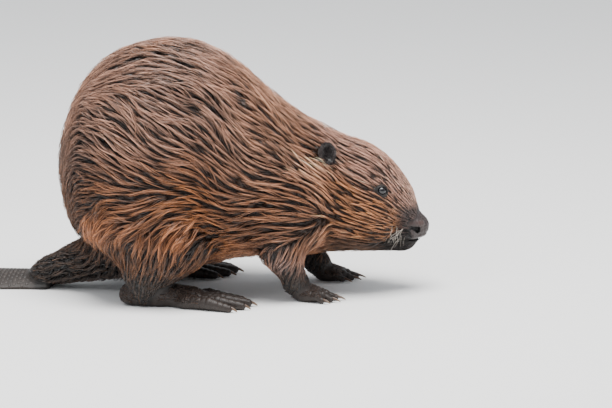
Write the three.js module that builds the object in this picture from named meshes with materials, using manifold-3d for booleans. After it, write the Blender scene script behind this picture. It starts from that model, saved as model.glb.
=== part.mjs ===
// A Eurasian beaver at life size, stooping with its nose low and its back humped, as it feeds in the shallows.
// Millimetres. +X points forward, to the nose, +Y to the animal's left and +Z up. The floor is z = 0.
// The animal is a set of rounded masses that flow into each other. Each mass is a function that tells how far
// a point lies outside it, and every sub-part's surface is found by casting rays out to those functions.
// The solids reach to the tips of the coat.

import * as THREE from "three";
import { mergeVertices } from "three/addons/utils/BufferGeometryUtils.js";
import Module from "manifold-3d";

const wasm = await Module();
wasm.setup();

// ---- Driving dimensions ----
const GAP = 0.3; // left between neighbouring sub-parts
const ORIGIN_X = -135.5; // the middle of the whole length, tail included, counted from under the shoulder blades
const BELLY_CLEARANCE = 33; // from the floor to the belly
const BELLY_ROUNDING = 60; // over which its sides curve down into it

const EYE_RADIUS = 6.8;
const EYE_PLACE = { x: 183, z: 140 };
const EYE_DEPTH = 4.6; // of the eye's centre below the side of the head

const MOUTH_FRONT = { x: 233, z: 69.5 };
const MOUTH_RISE = 3; // degrees that the mouth line climbs towards the cheek
const JAW_BACK_X = 118;
const NOSE_PAD_BACK = { x: 226, z: 86 };
const NOSE_PAD_TILT = 16; // degrees that the back of the bare nose leans

const NECK_BACK = { x: 52, z: 140 };
const NECK_FRONT = { x: 96, z: 140 };
const NECK_TILT = 8; // degrees that the neck's end planes lean

const FRONT_STAGGER = 14; // the left forefoot is this far ahead of the middle, and the right one behind it
const HIND_STAGGER = -10;
const WRIST_HEIGHT = 25;
const ANKLE_HEIGHT = 32;

const TAIL_BEND = 15; // degrees that the tail swings to the left
const PADDLE_LENGTH = 262;
const PADDLE_HALF_WIDTH = 60;
const PADDLE_BASE_HALF_WIDTH = 29;
const PADDLE_THICKNESS = 22;
const PADDLE_EDGE = 3.2;
const TAIL_ROOT = { x: -150, z: 56 };
const TAIL_STOCK_LENGTH = 112;

// ---- Materials ----
const furMaterial = new THREE.MeshStandardMaterial({ color: 0x5d4030, roughness: 0.55, metalness: 0 });
const nakedMaterial = new THREE.MeshStandardMaterial({ color: 0x2b2320, roughness: 0.5, metalness: 0 });
const scaleMaterial = new THREE.MeshStandardMaterial({ color: 0x38322d, roughness: 0.5, metalness: 0 });
const eyeMaterial = new THREE.MeshStandardMaterial({ color: 0x0c0907, roughness: 0.08, metalness: 0 });
const clawMaterial = new THREE.MeshStandardMaterial({ color: 0x3a2a20, roughness: 0.35, metalness: 0 });

// ---- Masses ----
const rad = THREE.MathUtils.degToRad;
const vec = (x, y, z) => new THREE.Vector3(x, y, z);
const FORWARD = vec(1, 0, 0);
const LEFT = vec(0, 1, 0);
const UP = vec(0, 0, 1);
const DOWN = vec(0, 0, -1);

// An ellipsoid, turned about its own length by roll, then nose down by pitch, then to its left by yaw.
function ellipsoid([x, y, z], [rx, ry, rz], pitch = 0, yaw = 0, roll = 0) {
  const centre = vec(x, y, z);
  const turn = new THREE.Euler(rad(roll), rad(pitch), rad(yaw), "ZYX");
  const unturn = new THREE.Quaternion().setFromEuler(turn).invert();
  const q = new THREE.Vector3();
  return (point) => {
    q.copy(point).sub(centre).applyQuaternion(unturn);
    const scaled = Math.hypot(q.x / rx, q.y / ry, q.z / rz);
    const slope = Math.hypot(q.x / rx ** 2, q.y / ry ** 2, q.z / rz ** 2);
    return (scaled * (scaled - 1)) / Math.max(slope, 1e-9);
  };
}

// Two balls of radius ra and rb with the cone that wraps them.
function cone([ax, ay, az], ra, [bx, by, bz], rb) {
  const a = vec(ax, ay, az);
  const ab = vec(bx, by, bz).sub(a);
  const length2 = ab.lengthSq();
  const taper = ra - rb;
  const side2 = length2 - taper * taper;
  const pa = new THREE.Vector3();
  return (point) => {
    pa.copy(point).sub(a);
    const along = pa.dot(ab);
    const beyond = along - length2;
    const across2 = pa.multiplyScalar(length2).addScaledVector(ab, -along).lengthSq();
    const along2 = along * along * length2;
    const beyond2 = beyond * beyond * length2;
    const turn = Math.sign(taper) * taper * taper * across2;
    if (Math.sign(beyond) * side2 * beyond2 > turn) return Math.sqrt(across2 + beyond2) / length2 - rb;
    if (Math.sign(along) * side2 * along2 < turn) return Math.sqrt(across2 + along2) / length2 - ra;
    return (Math.sqrt((across2 * side2) / length2) + along * taper) / length2 - ra;
  };
}

// The lower of two distances, with the crease between them filled over a width of k.
function smoothMin(a, b, k) {
  const h = Math.max(k - Math.abs(a - b), 0) / k;
  return Math.min(a, b) - (h * h * k) / 4;
}

// Masses given as [shape, width of its blend], melted into one.
function blend(masses) {
  return (point) => masses.reduce((d, [shape, k]) => smoothMin(d, shape(point), k), 1e6);
}

const bothSides = (make) => [make(1), make(-1)];

const trunkMasses = blend([
  [ellipsoid([-88, 0, 166], [148, 131, 168]), 20], // rump
  [ellipsoid([-128, 0, 212], [83, 96, 102]), 20], // croup
  [ellipsoid([-8, 0, 171], [122, 112, 99], 38.5), 30], // loin
  [ellipsoid([50, 0, 134], [112, 88, 96.5], 26), 36], // chest
  [ellipsoid([-50, 0, 110], [156, 114, 72]), 30], // belly
]);

// The belly is flattened above the floor, so that the feet carry the trunk clear of it.
const flatTrunk = (point) => -smoothMin(-trunkMasses(point), point.z - BELLY_CLEARANCE, BELLY_ROUNDING);

const torso = blend([
  [flatTrunk, 20],
  [ellipsoid([86, 0, 139], [88, 58, 77], 12), 26], // neck
  [ellipsoid([147, 0, 144.5], [61, 54, 54], 34), 16], // braincase
  [ellipsoid([179, 0, 128], [46, 40, 40], 52), 20], // forehead
  ...bothSides((s) => [ellipsoid([150, s * 38, 106], [52, 28, 42], 25), 20]), // cheeks
  [cone([190, 0, 112], 37, [210, 0, 94], 26), 16], // muzzle
  ...bothSides((s) => [ellipsoid([214, s * 12, 84], [19, 17, 17], 20), 10]), // lips
  [cone([130, 0, 90], 38, [211, 0, 69], 17), 14], // lower jaw
  [ellipsoid([232, 0, 85], [14, 15.5, 15], 20), 8], // nose
]);

const frontFoot = (s) => vec(100 + s * FRONT_STAGGER, s * 66, 0);
function frontLeg(s) {
  const { x, y } = frontFoot(s);
  return blend([
    [ellipsoid([64, s * 54, 116], [56, 44, 64], 15), 20], // shoulder
    [cone([66, s * 66, 104], 34, [52, s * 78, 72], 27), 20], // upper arm
    [cone([52, s * 78, 72], 25, [x - 13, y, 24], 15), 16], // forearm
    [cone([x - 13, y, 24], 15, [x - 4, y, 12], 12), 8], // wrist
  ]);
}

const hindFoot = (s) => vec(-72 + s * HIND_STAGGER, s * 98, 0);
function hindLeg(s) {
  const { x, y } = hindFoot(s);
  return blend([
    [ellipsoid([-108, s * 85, 114], [80, 57, 80], 8), 20], // thigh
    [cone([-74, s * 102, 82], 36, [x - 58, y, 40], 24), 26], // shank
    [cone([x - 58, y, 40], 22, [x - 58, y, 18], 19), 14], // ankle
  ]);
}

const tailHeading = vec(-Math.cos(rad(TAIL_BEND)), Math.sin(rad(TAIL_BEND)), 0);
const tailSide = vec(-tailHeading.y, tailHeading.x, 0);
const tailRoot = vec(TAIL_ROOT.x, 0, TAIL_ROOT.z);
const tailStockEnd = tailRoot.clone().addScaledVector(tailHeading, TAIL_STOCK_LENGTH).setZ(18);
const tailStock = blend(
  bothSides((s) => {
    const from = tailRoot.clone().addScaledVector(tailSide, s * 14);
    const to = tailStockEnd.clone().addScaledVector(tailSide, s * 13);
    return [cone(from.toArray(), 38, to.toArray(), 16), 20];
  }),
);

// ---- Surfaces cast out to a mass ----

// A station is a point inside the mass with the direction of the spine there. Its ring of rays stands square to
// that direction, or leans from it by some degrees, so that leaning rings at one point close off a rounded end.
const station = (at, axis, lean = 0) => ({ at, axis: axis.clone().normalize(), lean });

// How far a ray runs from inside the shape to its surface.
function reach(shape, from, direction) {
  const step = 3;
  const point = new THREE.Vector3();
  const outside = (t) => shape(point.copy(from).addScaledVector(direction, t)) > 0;
  let far = step;
  while (!outside(far) && far < 400) far += step;
  let near = far - step;
  for (let i = 0; i < 16; i++) {
    const middle = (near + far) / 2;
    if (outside(middle)) far = middle;
    else near = middle;
  }
  return far;
}

const onSurface = (shape, from, direction) =>
  from.clone().addScaledVector(direction, reach(shape, from, direction));

// The direction straight out of the shape at a point.
function outward(shape, point) {
  const h = 0.5;
  const slope = (axis) =>
    shape(point.clone().addScaledVector(axis, h)) - shape(point.clone().addScaledVector(axis, -h));
  return vec(slope(FORWARD), slope(LEFT), slope(UP)).normalize();
}

// A closed skin over the shape, with a ring of vertices for each station and a point in the middle of each end.
// grow pushes every vertex that much further out, to make the tool that cuts a neighbour back.
function cast(shape, stations, sides, grow = 0) {
  const positions = [];
  const add = (p) => positions.push(p.x, p.y, p.z);
  const addSurface = (from, ray) => {
    const p = onSurface(shape, from, ray);
    add(grow ? p.addScaledVector(outward(shape, p), grow) : p);
  };
  for (const { at, axis, lean } of stations) {
    const across = Math.abs(axis.y) > 0.9 ? FORWARD : LEFT;
    const side = across.clone().addScaledVector(axis, -across.dot(axis)).normalize();
    const top = axis.clone().cross(side);
    for (let i = 0; i < sides; i++) {
      const turn = (2 * Math.PI * i) / sides;
      const ray = side.clone().multiplyScalar(Math.cos(turn)).addScaledVector(top, Math.sin(turn));
      ray.multiplyScalar(Math.cos(rad(lean))).addScaledVector(axis, Math.sin(rad(lean)));
      addSurface(at, ray);
    }
  }
  [stations[0], stations[stations.length - 1]].forEach(({ at, axis, lean }, last) => {
    if (lean === 0) add(at);
    else addSurface(at, axis.clone().multiplyScalar(last ? 1 : -1));
  });
  const first = stations.length * sides;
  const index = [];
  for (let i = 0; i < sides; i++) {
    const next = (i + 1) % sides;
    index.push(first, next, i);
    for (let ring = 0; ring < stations.length - 1; ring++) {
      const a = ring * sides + i;
      const b = ring * sides + next;
      index.push(a, b, b + sides, a, b + sides, a + sides);
    }
    index.push(first + 1, first - sides + i, first - sides + next);
  }
  const geometry = new THREE.BufferGeometry();
  geometry.setAttribute("position", new THREE.Float32BufferAttribute(positions, 3));
  geometry.setIndex(index);
  return geometry;
}

// Stations strung evenly along a smooth line through the points. Their rings stand square to the line, or all face
// one way if axis is given. An end is rounded off by the leaning rings of its fan, or is cut flat if that is null.
function along(points, count, { axis = null, startFan = [60, 28], endFan = [60, 28] } = {}) {
  const line = new THREE.CatmullRomCurve3(points);
  const facing = (t) => axis || line.getTangent(t);
  const rings = [];
  for (let i = 0; i < count; i++) {
    const t = i / (count - 1);
    rings.push(station(line.getPoint(t), facing(t)));
  }
  const start = (startFan || []).map((lean) => station(line.getPoint(0), facing(0), -lean));
  const end = (endFan || []).map((lean) => station(line.getPoint(1), facing(1), lean)).reverse();
  return [...start, ...rings, ...end];
}

// ---- Joining and cutting ----
function toSolid(geometry) {
  const bare = new THREE.BufferGeometry();
  bare.setAttribute("position", geometry.getAttribute("position"));
  bare.setIndex(geometry.index);
  const merged = mergeVertices(bare, 1e-4);
  const vertProperties = new Float32Array(merged.getAttribute("position").array);
  const triVerts = new Uint32Array(merged.index.array);
  return new wasm.Manifold(new wasm.Mesh({ numProp: 3, vertProperties, triVerts }));
}

const join = (solids) => solids.reduce((a, b) => a.add(b));
const largest = (solid) => solid.decompose().sort((a, b) => b.volume() - a.volume())[0];

function toMesh(name, solid, material) {
  const { vertProperties, triVerts } = largest(solid).getMesh();
  const geometry = new THREE.BufferGeometry();
  geometry.setAttribute("position", new THREE.BufferAttribute(vertProperties, 3));
  geometry.setIndex(new THREE.BufferAttribute(triVerts, 1));
  geometry.computeVertexNormals();
  const mesh = new THREE.Mesh(geometry, material);
  mesh.name = name;
  return mesh;
}

// What lies above the floor.
const onFloor = (solid) => solid.trimByPlane(UP.toArray(), 0);

// What lies on the side of a plane that its normal points to, GAP / 2 clear of it.
function beyond(solid, point, normal) {
  const n = normal.clone().normalize();
  return solid.trimByPlane(n.toArray(), point.dot(n) + GAP / 2);
}

// ---- Trunk, neck and head ----
const neckAxis = vec(Math.cos(rad(NECK_TILT)), 0, -Math.sin(rad(NECK_TILT)));
const neckBack = vec(NECK_BACK.x, 0, NECK_BACK.z);
const neckFront = vec(NECK_FRONT.x, 0, NECK_FRONT.z);
const leaned = (pitch) => vec(Math.cos(rad(pitch)), 0, -Math.sin(rad(pitch)));

function trunkStations() {
  const rumpMiddle = vec(-118, 0, 168);
  const fan = [80, 67, 54, 41, 28, 14].map((lean) => station(rumpMiddle, leaned(0), -lean));
  const rings = [
    [-118, 168, 0],
    [-92, 168, 2],
    [-64, 167, 4],
    [-36, 163, 6],
    [-8, 157, 7],
    [20, 149, 8],
    [NECK_BACK.x, NECK_BACK.z, NECK_TILT],
  ].map(([x, z, pitch]) => station(vec(x, 0, z), leaned(pitch)));
  rings[rings.length - 1].at.addScaledVector(neckAxis, -GAP / 2);
  return [...fan, ...rings];
}

function neckStations() {
  const ends = [neckBack.clone().addScaledVector(neckAxis, GAP / 2), neckFront.clone().addScaledVector(neckAxis, -GAP / 2)];
  return [0, 0.5, 1].map((t) => station(ends[0].clone().lerp(ends[1], t), neckAxis));
}

function headStations() {
  const start = neckFront.clone().addScaledVector(neckAxis, GAP / 2);
  const rings = [
    [112, 138, 10],
    [130, 133, 16],
    [148, 126, 22],
    [166, 118, 29],
    [183, 109, 34],
    [198, 100, 37],
    [210, 94, 39],
    [219, 89, 40],
  ].map(([x, z, pitch]) => station(vec(x, 0, z), leaned(pitch)));
  const fan = [18, 38, 60, 80].map((lean) => station(vec(226, 0, 85), leaned(36), lean));
  return [station(start, neckAxis), ...rings, ...fan];
}

const TORSO_SIDES = 28;
const trunk = toSolid(cast(torso, trunkStations(), TORSO_SIDES));
const neck = toSolid(cast(torso, neckStations(), TORSO_SIDES));
const wholeHead = toSolid(cast(torso, headStations(), TORSO_SIDES));

// The whole body, a little larger, which cuts back the limbs, the tail and the ears where they meet it.
const bodyStations = [...trunkStations(), ...neckStations(), ...headStations()];
const bodyTool = toSolid(cast(torso, bodyStations, TORSO_SIDES, 1.5 * GAP));

// The block below the mouth line that the lower jaw takes up.
function jawBlock(grow) {
  const length = MOUTH_FRONT.x + 40 - JAW_BACK_X;
  const geometry = new THREE.BoxGeometry(length + 2 * grow, 300, 100 + 2 * grow);
  geometry.deleteAttribute("normal");
  geometry.deleteAttribute("uv");
  geometry.translate(40 - length / 2, 0, -50);
  geometry.rotateY(rad(MOUTH_RISE)).translate(MOUTH_FRONT.x, 0, MOUTH_FRONT.z);
  return toSolid(mergeVertices(geometry, 1e-4));
}

// ---- Eyes and ears ----
function eyeCentre(s) {
  const inside = vec(EYE_PLACE.x, 0, EYE_PLACE.z);
  const side = onSurface(torso, inside, vec(0, s, 0));
  return side.add(vec(0, -s * EYE_DEPTH, 0));
}

function ball(centre, radius) {
  const geometry = new THREE.SphereGeometry(radius, 12, 8);
  geometry.deleteAttribute("normal");
  geometry.deleteAttribute("uv");
  return mergeVertices(geometry, 1e-4).translate(centre.x, centre.y, centre.z);
}

// The ear is a small round cup that opens outwards and a little forwards, and leans in at the top.
const EAR = { x: 113, y: 57, z: 191, width: 11, depth: 8, height: 14, wall: 2.6, opens: 6, yaw: 25, roll: 20 };
function ear(s) {
  const { wall } = EAR;
  const middle = vec(EAR.x, s * EAR.y, EAR.z);
  const opening = vec(Math.sin(rad(EAR.yaw)), s * Math.cos(rad(EAR.yaw)), 0);
  const hollowMiddle = middle.clone().addScaledVector(opening, EAR.opens);
  const turns = [8, -s * EAR.yaw, s * EAR.roll];
  const cup = ellipsoid(middle.toArray(), [EAR.width, EAR.depth, EAR.height], ...turns);
  const hollow = ellipsoid(
    hollowMiddle.toArray(),
    [EAR.width - wall, EAR.depth, EAR.height - wall],
    ...turns,
  );
  const leans = [-60, -30, 0, 30, 60];
  const rings = (at) => leans.map((lean) => station(at, UP, lean || 0.01));
  const solid = toSolid(cast(cup, rings(middle), 14)).subtract(toSolid(cast(hollow, rings(hollowMiddle), 10)));
  return solid.subtract(bodyTool);
}

// ---- Legs and feet ----

// A chain of balls with cones between them, cast as one solid.
function chain(points, radii, sides, rings, fan = [45]) {
  const links = points.slice(1).map((p, i) => [cone(points[i], radii[i], p, radii[i + 1]), 3]);
  return cast(blend(links), along(points.map((p) => vec(...p)), rings, { startFan: fan, endFan: fan }), sides);
}

// A curved claw, from inside the toe's end down to the floor. thick widens it into the tool for its socket.
function claw(root, heading, length, radius, thick = 0) {
  const rings = 3;
  const points = [];
  const radii = [];
  for (let i = 0; i < rings; i++) {
    const t = i / (rings - 1);
    const drop = (root.z - 1.6) * t * t;
    points.push([root.x + heading.x * length * t, root.y + heading.y * length * t, root.z - drop]);
    radii.push(radius * (1 - 0.72 * t) + thick);
  }
  return toSolid(chain(points, radii, 5, rings, []));
}

// Five toes fan out from the foot's ball. Angles open away from the body's middle line.
const TOES = {
  front: {
    splay: 4,
    angles: [-26, -11, 1, 13, 28],
    lengths: [17, 25, 28, 26, 19],
    spread: 6.4,
    radii: [5.4, 5, 3.9],
    heights: [8, 9, 4.4],
    claw: { length: 15, radius: 2.5 },
  },
  hind: {
    splay: 5,
    angles: [-16, -8, 1, 10, 19],
    lengths: [54, 67, 74, 71, 60],
    spread: 9.5,
    radii: [8.6, 7.6, 5.2],
    heights: [9, 9.5, 5.2],
    claw: { length: 14, radius: 3.2 },
  },
};

function toeLine(kind, i, ball, s) {
  const { splay, angles, lengths, spread, heights } = TOES[kind];
  const turn = rad(splay + angles[i]);
  const heading = vec(Math.cos(turn), s * Math.sin(turn), 0);
  const root = vec(ball.x - Math.abs(i - 2) * 3, ball.y + s * (i - 2) * spread, heights[0]);
  const middle = root.clone().addScaledVector(heading, lengths[i] * 0.55).setZ(heights[1]);
  const tip = root.clone().addScaledVector(heading, lengths[i]).setZ(heights[2]);
  return { heading, root, middle, tip };
}

function foot(kind, ball, s, flesh) {
  const { radii, claw: nail } = TOES[kind];
  const lines = [0, 1, 2, 3, 4].map((i) => toeLine(kind, i, ball, s));
  const toes = lines.map(({ root, middle, tip }) => {
    const points = [root, middle, tip].map((p) => p.toArray());
    return toSolid(chain(points, radii, 6, 3, [40]));
  });
  const nailAt = ({ tip, heading }, thick) => {
    const root = tip.clone().addScaledVector(heading, -1.5).setZ(tip.z + 0.8);
    return claw(root, heading, nail.length, nail.radius, thick);
  };
  const parts = [...toes, ...flesh];
  if (kind === "hind") parts.push(web(lines));
  const sockets = lines.map((line) => nailAt(line, GAP));
  const solid = sockets.reduce((a, b) => a.subtract(b), join(parts));
  return { foot: onFloor(solid), claws: lines.map((line) => nailAt(line, 0)) };
}

// The skin stretched between the hind toes: a thin plate whose front edge dips between each two toes.
const WEB_THICKNESS = 2.8;
function web(lines) {
  const shape = new THREE.Shape();
  const nearTip = lines.map(({ root, tip }) => root.clone().lerp(tip, 0.93));
  shape.moveTo(lines[0].root.x, lines[0].root.y);
  shape.lineTo(nearTip[0].x, nearTip[0].y);
  nearTip.slice(1).forEach((p, i) => {
    const dip = nearTip[i].clone().add(p).multiplyScalar(0.5).lerp(lines[2].root, 0.16);
    shape.quadraticCurveTo(dip.x, dip.y, p.x, p.y);
  });
  shape.lineTo(lines[4].root.x, lines[4].root.y);
  const geometry = new THREE.ExtrudeGeometry(shape, { depth: WEB_THICKNESS, bevelEnabled: false, curveSegments: 3 });
  geometry.deleteAttribute("normal");
  geometry.deleteAttribute("uv");
  return toSolid(mergeVertices(geometry, 1e-4));
}

const ROUGH = { startFan: [40], endFan: [40] };

// A leg is cast in level slices, from a rounded top down to a flat end inside its foot.
const SLICED = { axis: DOWN, startFan: [66, 44, 22], endFan: null };

function frontLimb(s) {
  const { x, y } = frontFoot(s);
  const line = [vec(62, s * 62, 112), vec(54, s * 76, 76), vec(x - 26, s * 71, 42), vec(x - 8, y, 14)];
  const leg = toSolid(cast(frontLeg(s), along(line, 7, SLICED), 14)).subtract(bodyTool);
  const palm = ellipsoid([x + 3, y, 8], [19, 17, 12.5]);
  const palmLine = [vec(x - 6, y, 8), vec(x + 10, y, 8)];
  const wrist = vec(x - 10, y, WRIST_HEIGHT);
  const lower = largest(beyond(leg, wrist, DOWN));
  const flesh = [toSolid(cast(palm, along(palmLine, 2, ROUGH), 10)), lower];
  return { leg: beyond(leg, wrist, UP), ...foot("front", vec(x + 10, y, 0), s, flesh) };
}

function hindLimb(s) {
  const { x, y } = hindFoot(s);
  const line = [vec(-104, s * 86, 112), vec(-96, s * 98, 76), vec(x - 52, y, 46), vec(x - 58, y, 18)];
  const stations = along(line, 7, SLICED);
  const leg = toSolid(cast(hindLeg(s), stations, 16)).subtract(bodyTool);
  const tool = toSolid(cast(hindLeg(s), stations, 16, 1.5 * GAP));
  const sole = chain(
    [
      [x - 78, y - s * 4, 14],
      [x - 40, y - s * 2, 14],
      [x + 4, y + s, 9],
    ],
    [14, 16, 17],
    8,
    4,
  );
  const pad = ellipsoid([x - 2, y, 7], [26, 27, 10.5]);
  const padLine = [vec(x - 10, y, 7), vec(x + 6, y, 7)];
  const ankle = vec(x - 58, y, ANKLE_HEIGHT);
  const lower = largest(beyond(leg, ankle, DOWN));
  const flesh = [toSolid(sole), toSolid(cast(pad, along(padLine, 2, ROUGH), 10)), lower];
  const made = foot("hind", vec(x, y, 0), s, flesh);
  return {
    leg: beyond(leg, ankle, UP),
    foot: beyond(made.foot, ankle, DOWN).subtract(bodyTool),
    claws: made.claws,
    tool,
  };
}

// ---- Tail ----

// Half the paddle's width at a share t of its length: a narrow root, full by the middle, and a round end.
function paddleHalfWidth(t) {
  const root = THREE.MathUtils.smoothstep(t, -0.12, 0.5);
  const tip = Math.sqrt(Math.max(0, 1 - (Math.max(0, t - 0.62) / 0.38) ** 2.4));
  return (PADDLE_BASE_HALF_WIDTH + (PADDLE_HALF_WIDTH - PADDLE_BASE_HALF_WIDTH) * root) * tip;
}

// The paddle's height above the floor at a share v of its half width: thick down the middle, thin at the rim.
function paddleHeight(t, v) {
  const spine = PADDLE_THICKNESS * (1 - 0.62 * t);
  return PADDLE_EDGE + (spine - PADDLE_EDGE) * (1 - Math.abs(v) ** 1.7);
}

function paddle() {
  const rows = 12;
  const columns = 8;
  const tipShare = 0.995;
  const positions = [];
  const at = (t, v, z) => {
    const p = tailStockEnd.clone().setZ(z);
    p.addScaledVector(tailHeading, 4 + GAP + PADDLE_LENGTH * t).addScaledVector(tailSide, paddleHalfWidth(t) * v);
    positions.push(p.x, p.y, p.z);
  };
  for (let i = 0; i <= rows; i++) {
    const t = tipShare * Math.sin((Math.PI / 2) * (i / rows)) ** 1.15;
    for (let j = 0; j <= columns; j++) at(t, (2 * j) / columns - 1, paddleHeight(t, (2 * j) / columns - 1));
    for (let j = columns; j >= 0; j--) at(t, (2 * j) / columns - 1, 0);
  }
  const round = 2 * (columns + 1);
  const index = [];
  for (let i = 0; i < rows; i++) {
    for (let j = 0; j < round; j++) {
      const a = i * round + j;
      const b = i * round + ((j + 1) % round);
      index.push(a, a + round, b + round, a, b + round, b);
    }
  }
  for (const [row, flip] of [
    [0, false],
    [rows, true],
  ]) {
    for (let j = 0; j < columns; j++) {
      const a = row * round + j;
      const c = row * round + round - 1 - j;
      const quad = [a, a + 1, c - 1, a, c - 1, c];
      index.push(...(flip ? quad.reverse() : quad));
    }
  }
  const geometry = new THREE.BufferGeometry();
  geometry.setAttribute("position", new THREE.Float32BufferAttribute(positions, 3));
  geometry.setIndex(index);
  return toSolid(geometry);
}

function tailBase(legTools) {
  const line = [tailRoot.clone().add(vec(6, 0, 6)), tailRoot.clone().lerp(tailStockEnd, 0.5), tailStockEnd];
  const stock = toSolid(cast(tailStock, along(line, 5, { axis: tailHeading, endFan: null }), 16));
  return [bodyTool, ...legTools].reduce((a, b) => a.subtract(b), onFloor(stock));
}

// ---- The beaver ----
const beaver = new THREE.Group();
const place = (name, solid, material) => beaver.add(toMesh(name, solid, material));

const nosePadBack = vec(NOSE_PAD_BACK.x, 0, NOSE_PAD_BACK.z);
const noseForward = leaned(NOSE_PAD_TILT);

const eyes = [1, -1].map((s) => toSolid(ball(eyeCentre(s), EYE_RADIUS)));
const sockets = [1, -1].map((s) => toSolid(ball(eyeCentre(s), EYE_RADIUS + GAP)));
const jaw = wholeHead.intersect(jawBlock(0));
const upperHead = wholeHead.subtract(jawBlock(GAP));
const nose = beyond(upperHead, nosePadBack, noseForward);
const face = beyond(upperHead, nosePadBack, noseForward.clone().negate());

place("trunk", trunk, furMaterial);
place("neck", neck, furMaterial);
place("head", sockets.reduce((a, b) => a.subtract(b), face), furMaterial);
place("lower_jaw", jaw, furMaterial);
place("nose", nose, nakedMaterial);
place("tail", paddle(), scaleMaterial);

const legTools = [];
for (const s of [1, -1]) {
  const side = s > 0 ? "left" : "right";
  place(`eye_${side}`, eyes[s > 0 ? 0 : 1], eyeMaterial);
  place(`ear_${side}`, ear(s), furMaterial);
  const front = frontLimb(s);
  const hind = hindLimb(s);
  legTools.push(hind.tool);
  place(`front_leg_${side}`, front.leg, furMaterial);
  place(`front_foot_${side}`, front.foot, nakedMaterial);
  place(`hind_leg_${side}`, hind.leg, furMaterial);
  place(`hind_foot_${side}`, hind.foot, nakedMaterial);
  front.claws.forEach((nail, i) => place(`front_claw_${side}_${i + 1}`, nail, clawMaterial));
  hind.claws.forEach((nail, i) => place(`hind_claw_${side}_${i + 1}`, nail, clawMaterial));
}

place("tail_base", tailBase(legTools), furMaterial);

beaver.position.x = -ORIGIN_X;

export default beaver;
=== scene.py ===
# A wet Eurasian beaver at life size, stooping with its nose low and its back humped.
# The flesh is a set of rounded masses that flow into each other, the same ones that the CAD solids have.
# One skin is drawn round them, and a coat of solid hairs in pointed locks lies over it.
# Shapes are worked out in millimetres, in the masses' own frame, and go to metres where a mesh is made.
# "s" is the side: 1 on the animal's left, where y is positive, and -1 on its right.

import math

import bpy
import numpy as np
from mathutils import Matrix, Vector


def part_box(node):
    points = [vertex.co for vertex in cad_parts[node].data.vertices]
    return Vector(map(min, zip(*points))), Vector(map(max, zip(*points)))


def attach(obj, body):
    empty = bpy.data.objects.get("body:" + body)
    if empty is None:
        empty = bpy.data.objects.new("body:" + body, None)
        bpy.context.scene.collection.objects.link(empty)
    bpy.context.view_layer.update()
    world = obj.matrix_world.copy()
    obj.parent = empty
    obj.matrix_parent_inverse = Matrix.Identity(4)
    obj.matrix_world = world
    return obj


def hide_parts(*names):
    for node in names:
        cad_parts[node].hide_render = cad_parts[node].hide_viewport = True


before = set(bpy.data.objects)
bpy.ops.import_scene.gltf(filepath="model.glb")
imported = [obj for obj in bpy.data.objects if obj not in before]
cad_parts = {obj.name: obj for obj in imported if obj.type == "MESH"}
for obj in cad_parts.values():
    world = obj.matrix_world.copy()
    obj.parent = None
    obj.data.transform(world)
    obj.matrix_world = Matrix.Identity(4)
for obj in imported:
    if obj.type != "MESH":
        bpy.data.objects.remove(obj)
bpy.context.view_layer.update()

rng = np.random.default_rng(20)

SIDE_NAMES = {1: "left", -1: "right"}
SIDES = tuple(SIDE_NAMES)

# ---- Places taken from the frame ----
EYE_X = 183.0  # of the eyes, in the masses' own frame


def box_middle(node):
    low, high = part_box(node)
    return np.array((low + high) / 2) * 1000


SHIFT = np.array([box_middle("eye_left")[0] - EYE_X, 0.0, 0.0])  # from the masses' own frame to the CAD's
EYE_CENTRES = {s: box_middle(f"eye_{side}") - SHIFT for s, side in SIDE_NAMES.items()}
EYE_RADIUS = 500 * (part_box("eye_left")[1].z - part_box("eye_left")[0].z)


def to_metres(points):
    return (np.asarray(points) + SHIFT) / 1000


# ---- Driving dimensions, as in the CAD ----
BELLY_CLEARANCE = 33.0
BELLY_ROUNDING = 60.0
FRONT_STAGGER = 14.0
HIND_STAGGER = -10.0
TAIL_BEND = 15.0
TAIL_ROOT = np.array([-150.0, 0.0, 56.0])
TAIL_STOCK_LENGTH = 112.0
PADDLE_LENGTH = 262.0
PADDLE_HALF_WIDTH = 60.0
PADDLE_BASE_HALF_WIDTH = 29.0
PADDLE_THICKNESS = 22.0
PADDLE_EDGE = 3.2
MOUTH_FRONT = (233.0, 69.5)
MOUTH_RISE = 3.0
MOUTH_CORNER_X = 174.0
NOSE_TIP = np.array([240.0, 0.0, 85.0])


# ---- Distances to rounded masses ----
def turning(pitch, yaw, roll):
    """A turn about the length by roll, then nose down by pitch, then to the left by yaw, in degrees."""
    angles = [math.radians(angle) for angle in (pitch, yaw, roll)]
    (cp, sp), (cy, sy), (cr, sr) = [(math.cos(angle), math.sin(angle)) for angle in angles]
    about_x = np.array([[1, 0, 0], [0, cr, -sr], [0, sr, cr]])
    about_y = np.array([[cp, 0, sp], [0, 1, 0], [-sp, 0, cp]])
    about_z = np.array([[cy, -sy, 0], [sy, cy, 0], [0, 0, 1]])
    return about_z @ about_y @ about_x


def ellipsoid(centre, radii, pitch=0.0, yaw=0.0, roll=0.0):
    centre = np.array(centre, np.float32)
    unturn = turning(pitch, yaw, roll).astype(np.float32)
    shrink = (1 / np.array(radii)).astype(np.float32)

    def distance(p):
        q = ((p - centre) @ unturn) * shrink
        scaled = np.sqrt(np.einsum("ij,ij->i", q, q))
        q = q * shrink
        slope = np.sqrt(np.einsum("ij,ij->i", q, q))
        return scaled * (scaled - 1) / np.maximum(slope, 1e-9)

    return distance


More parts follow.
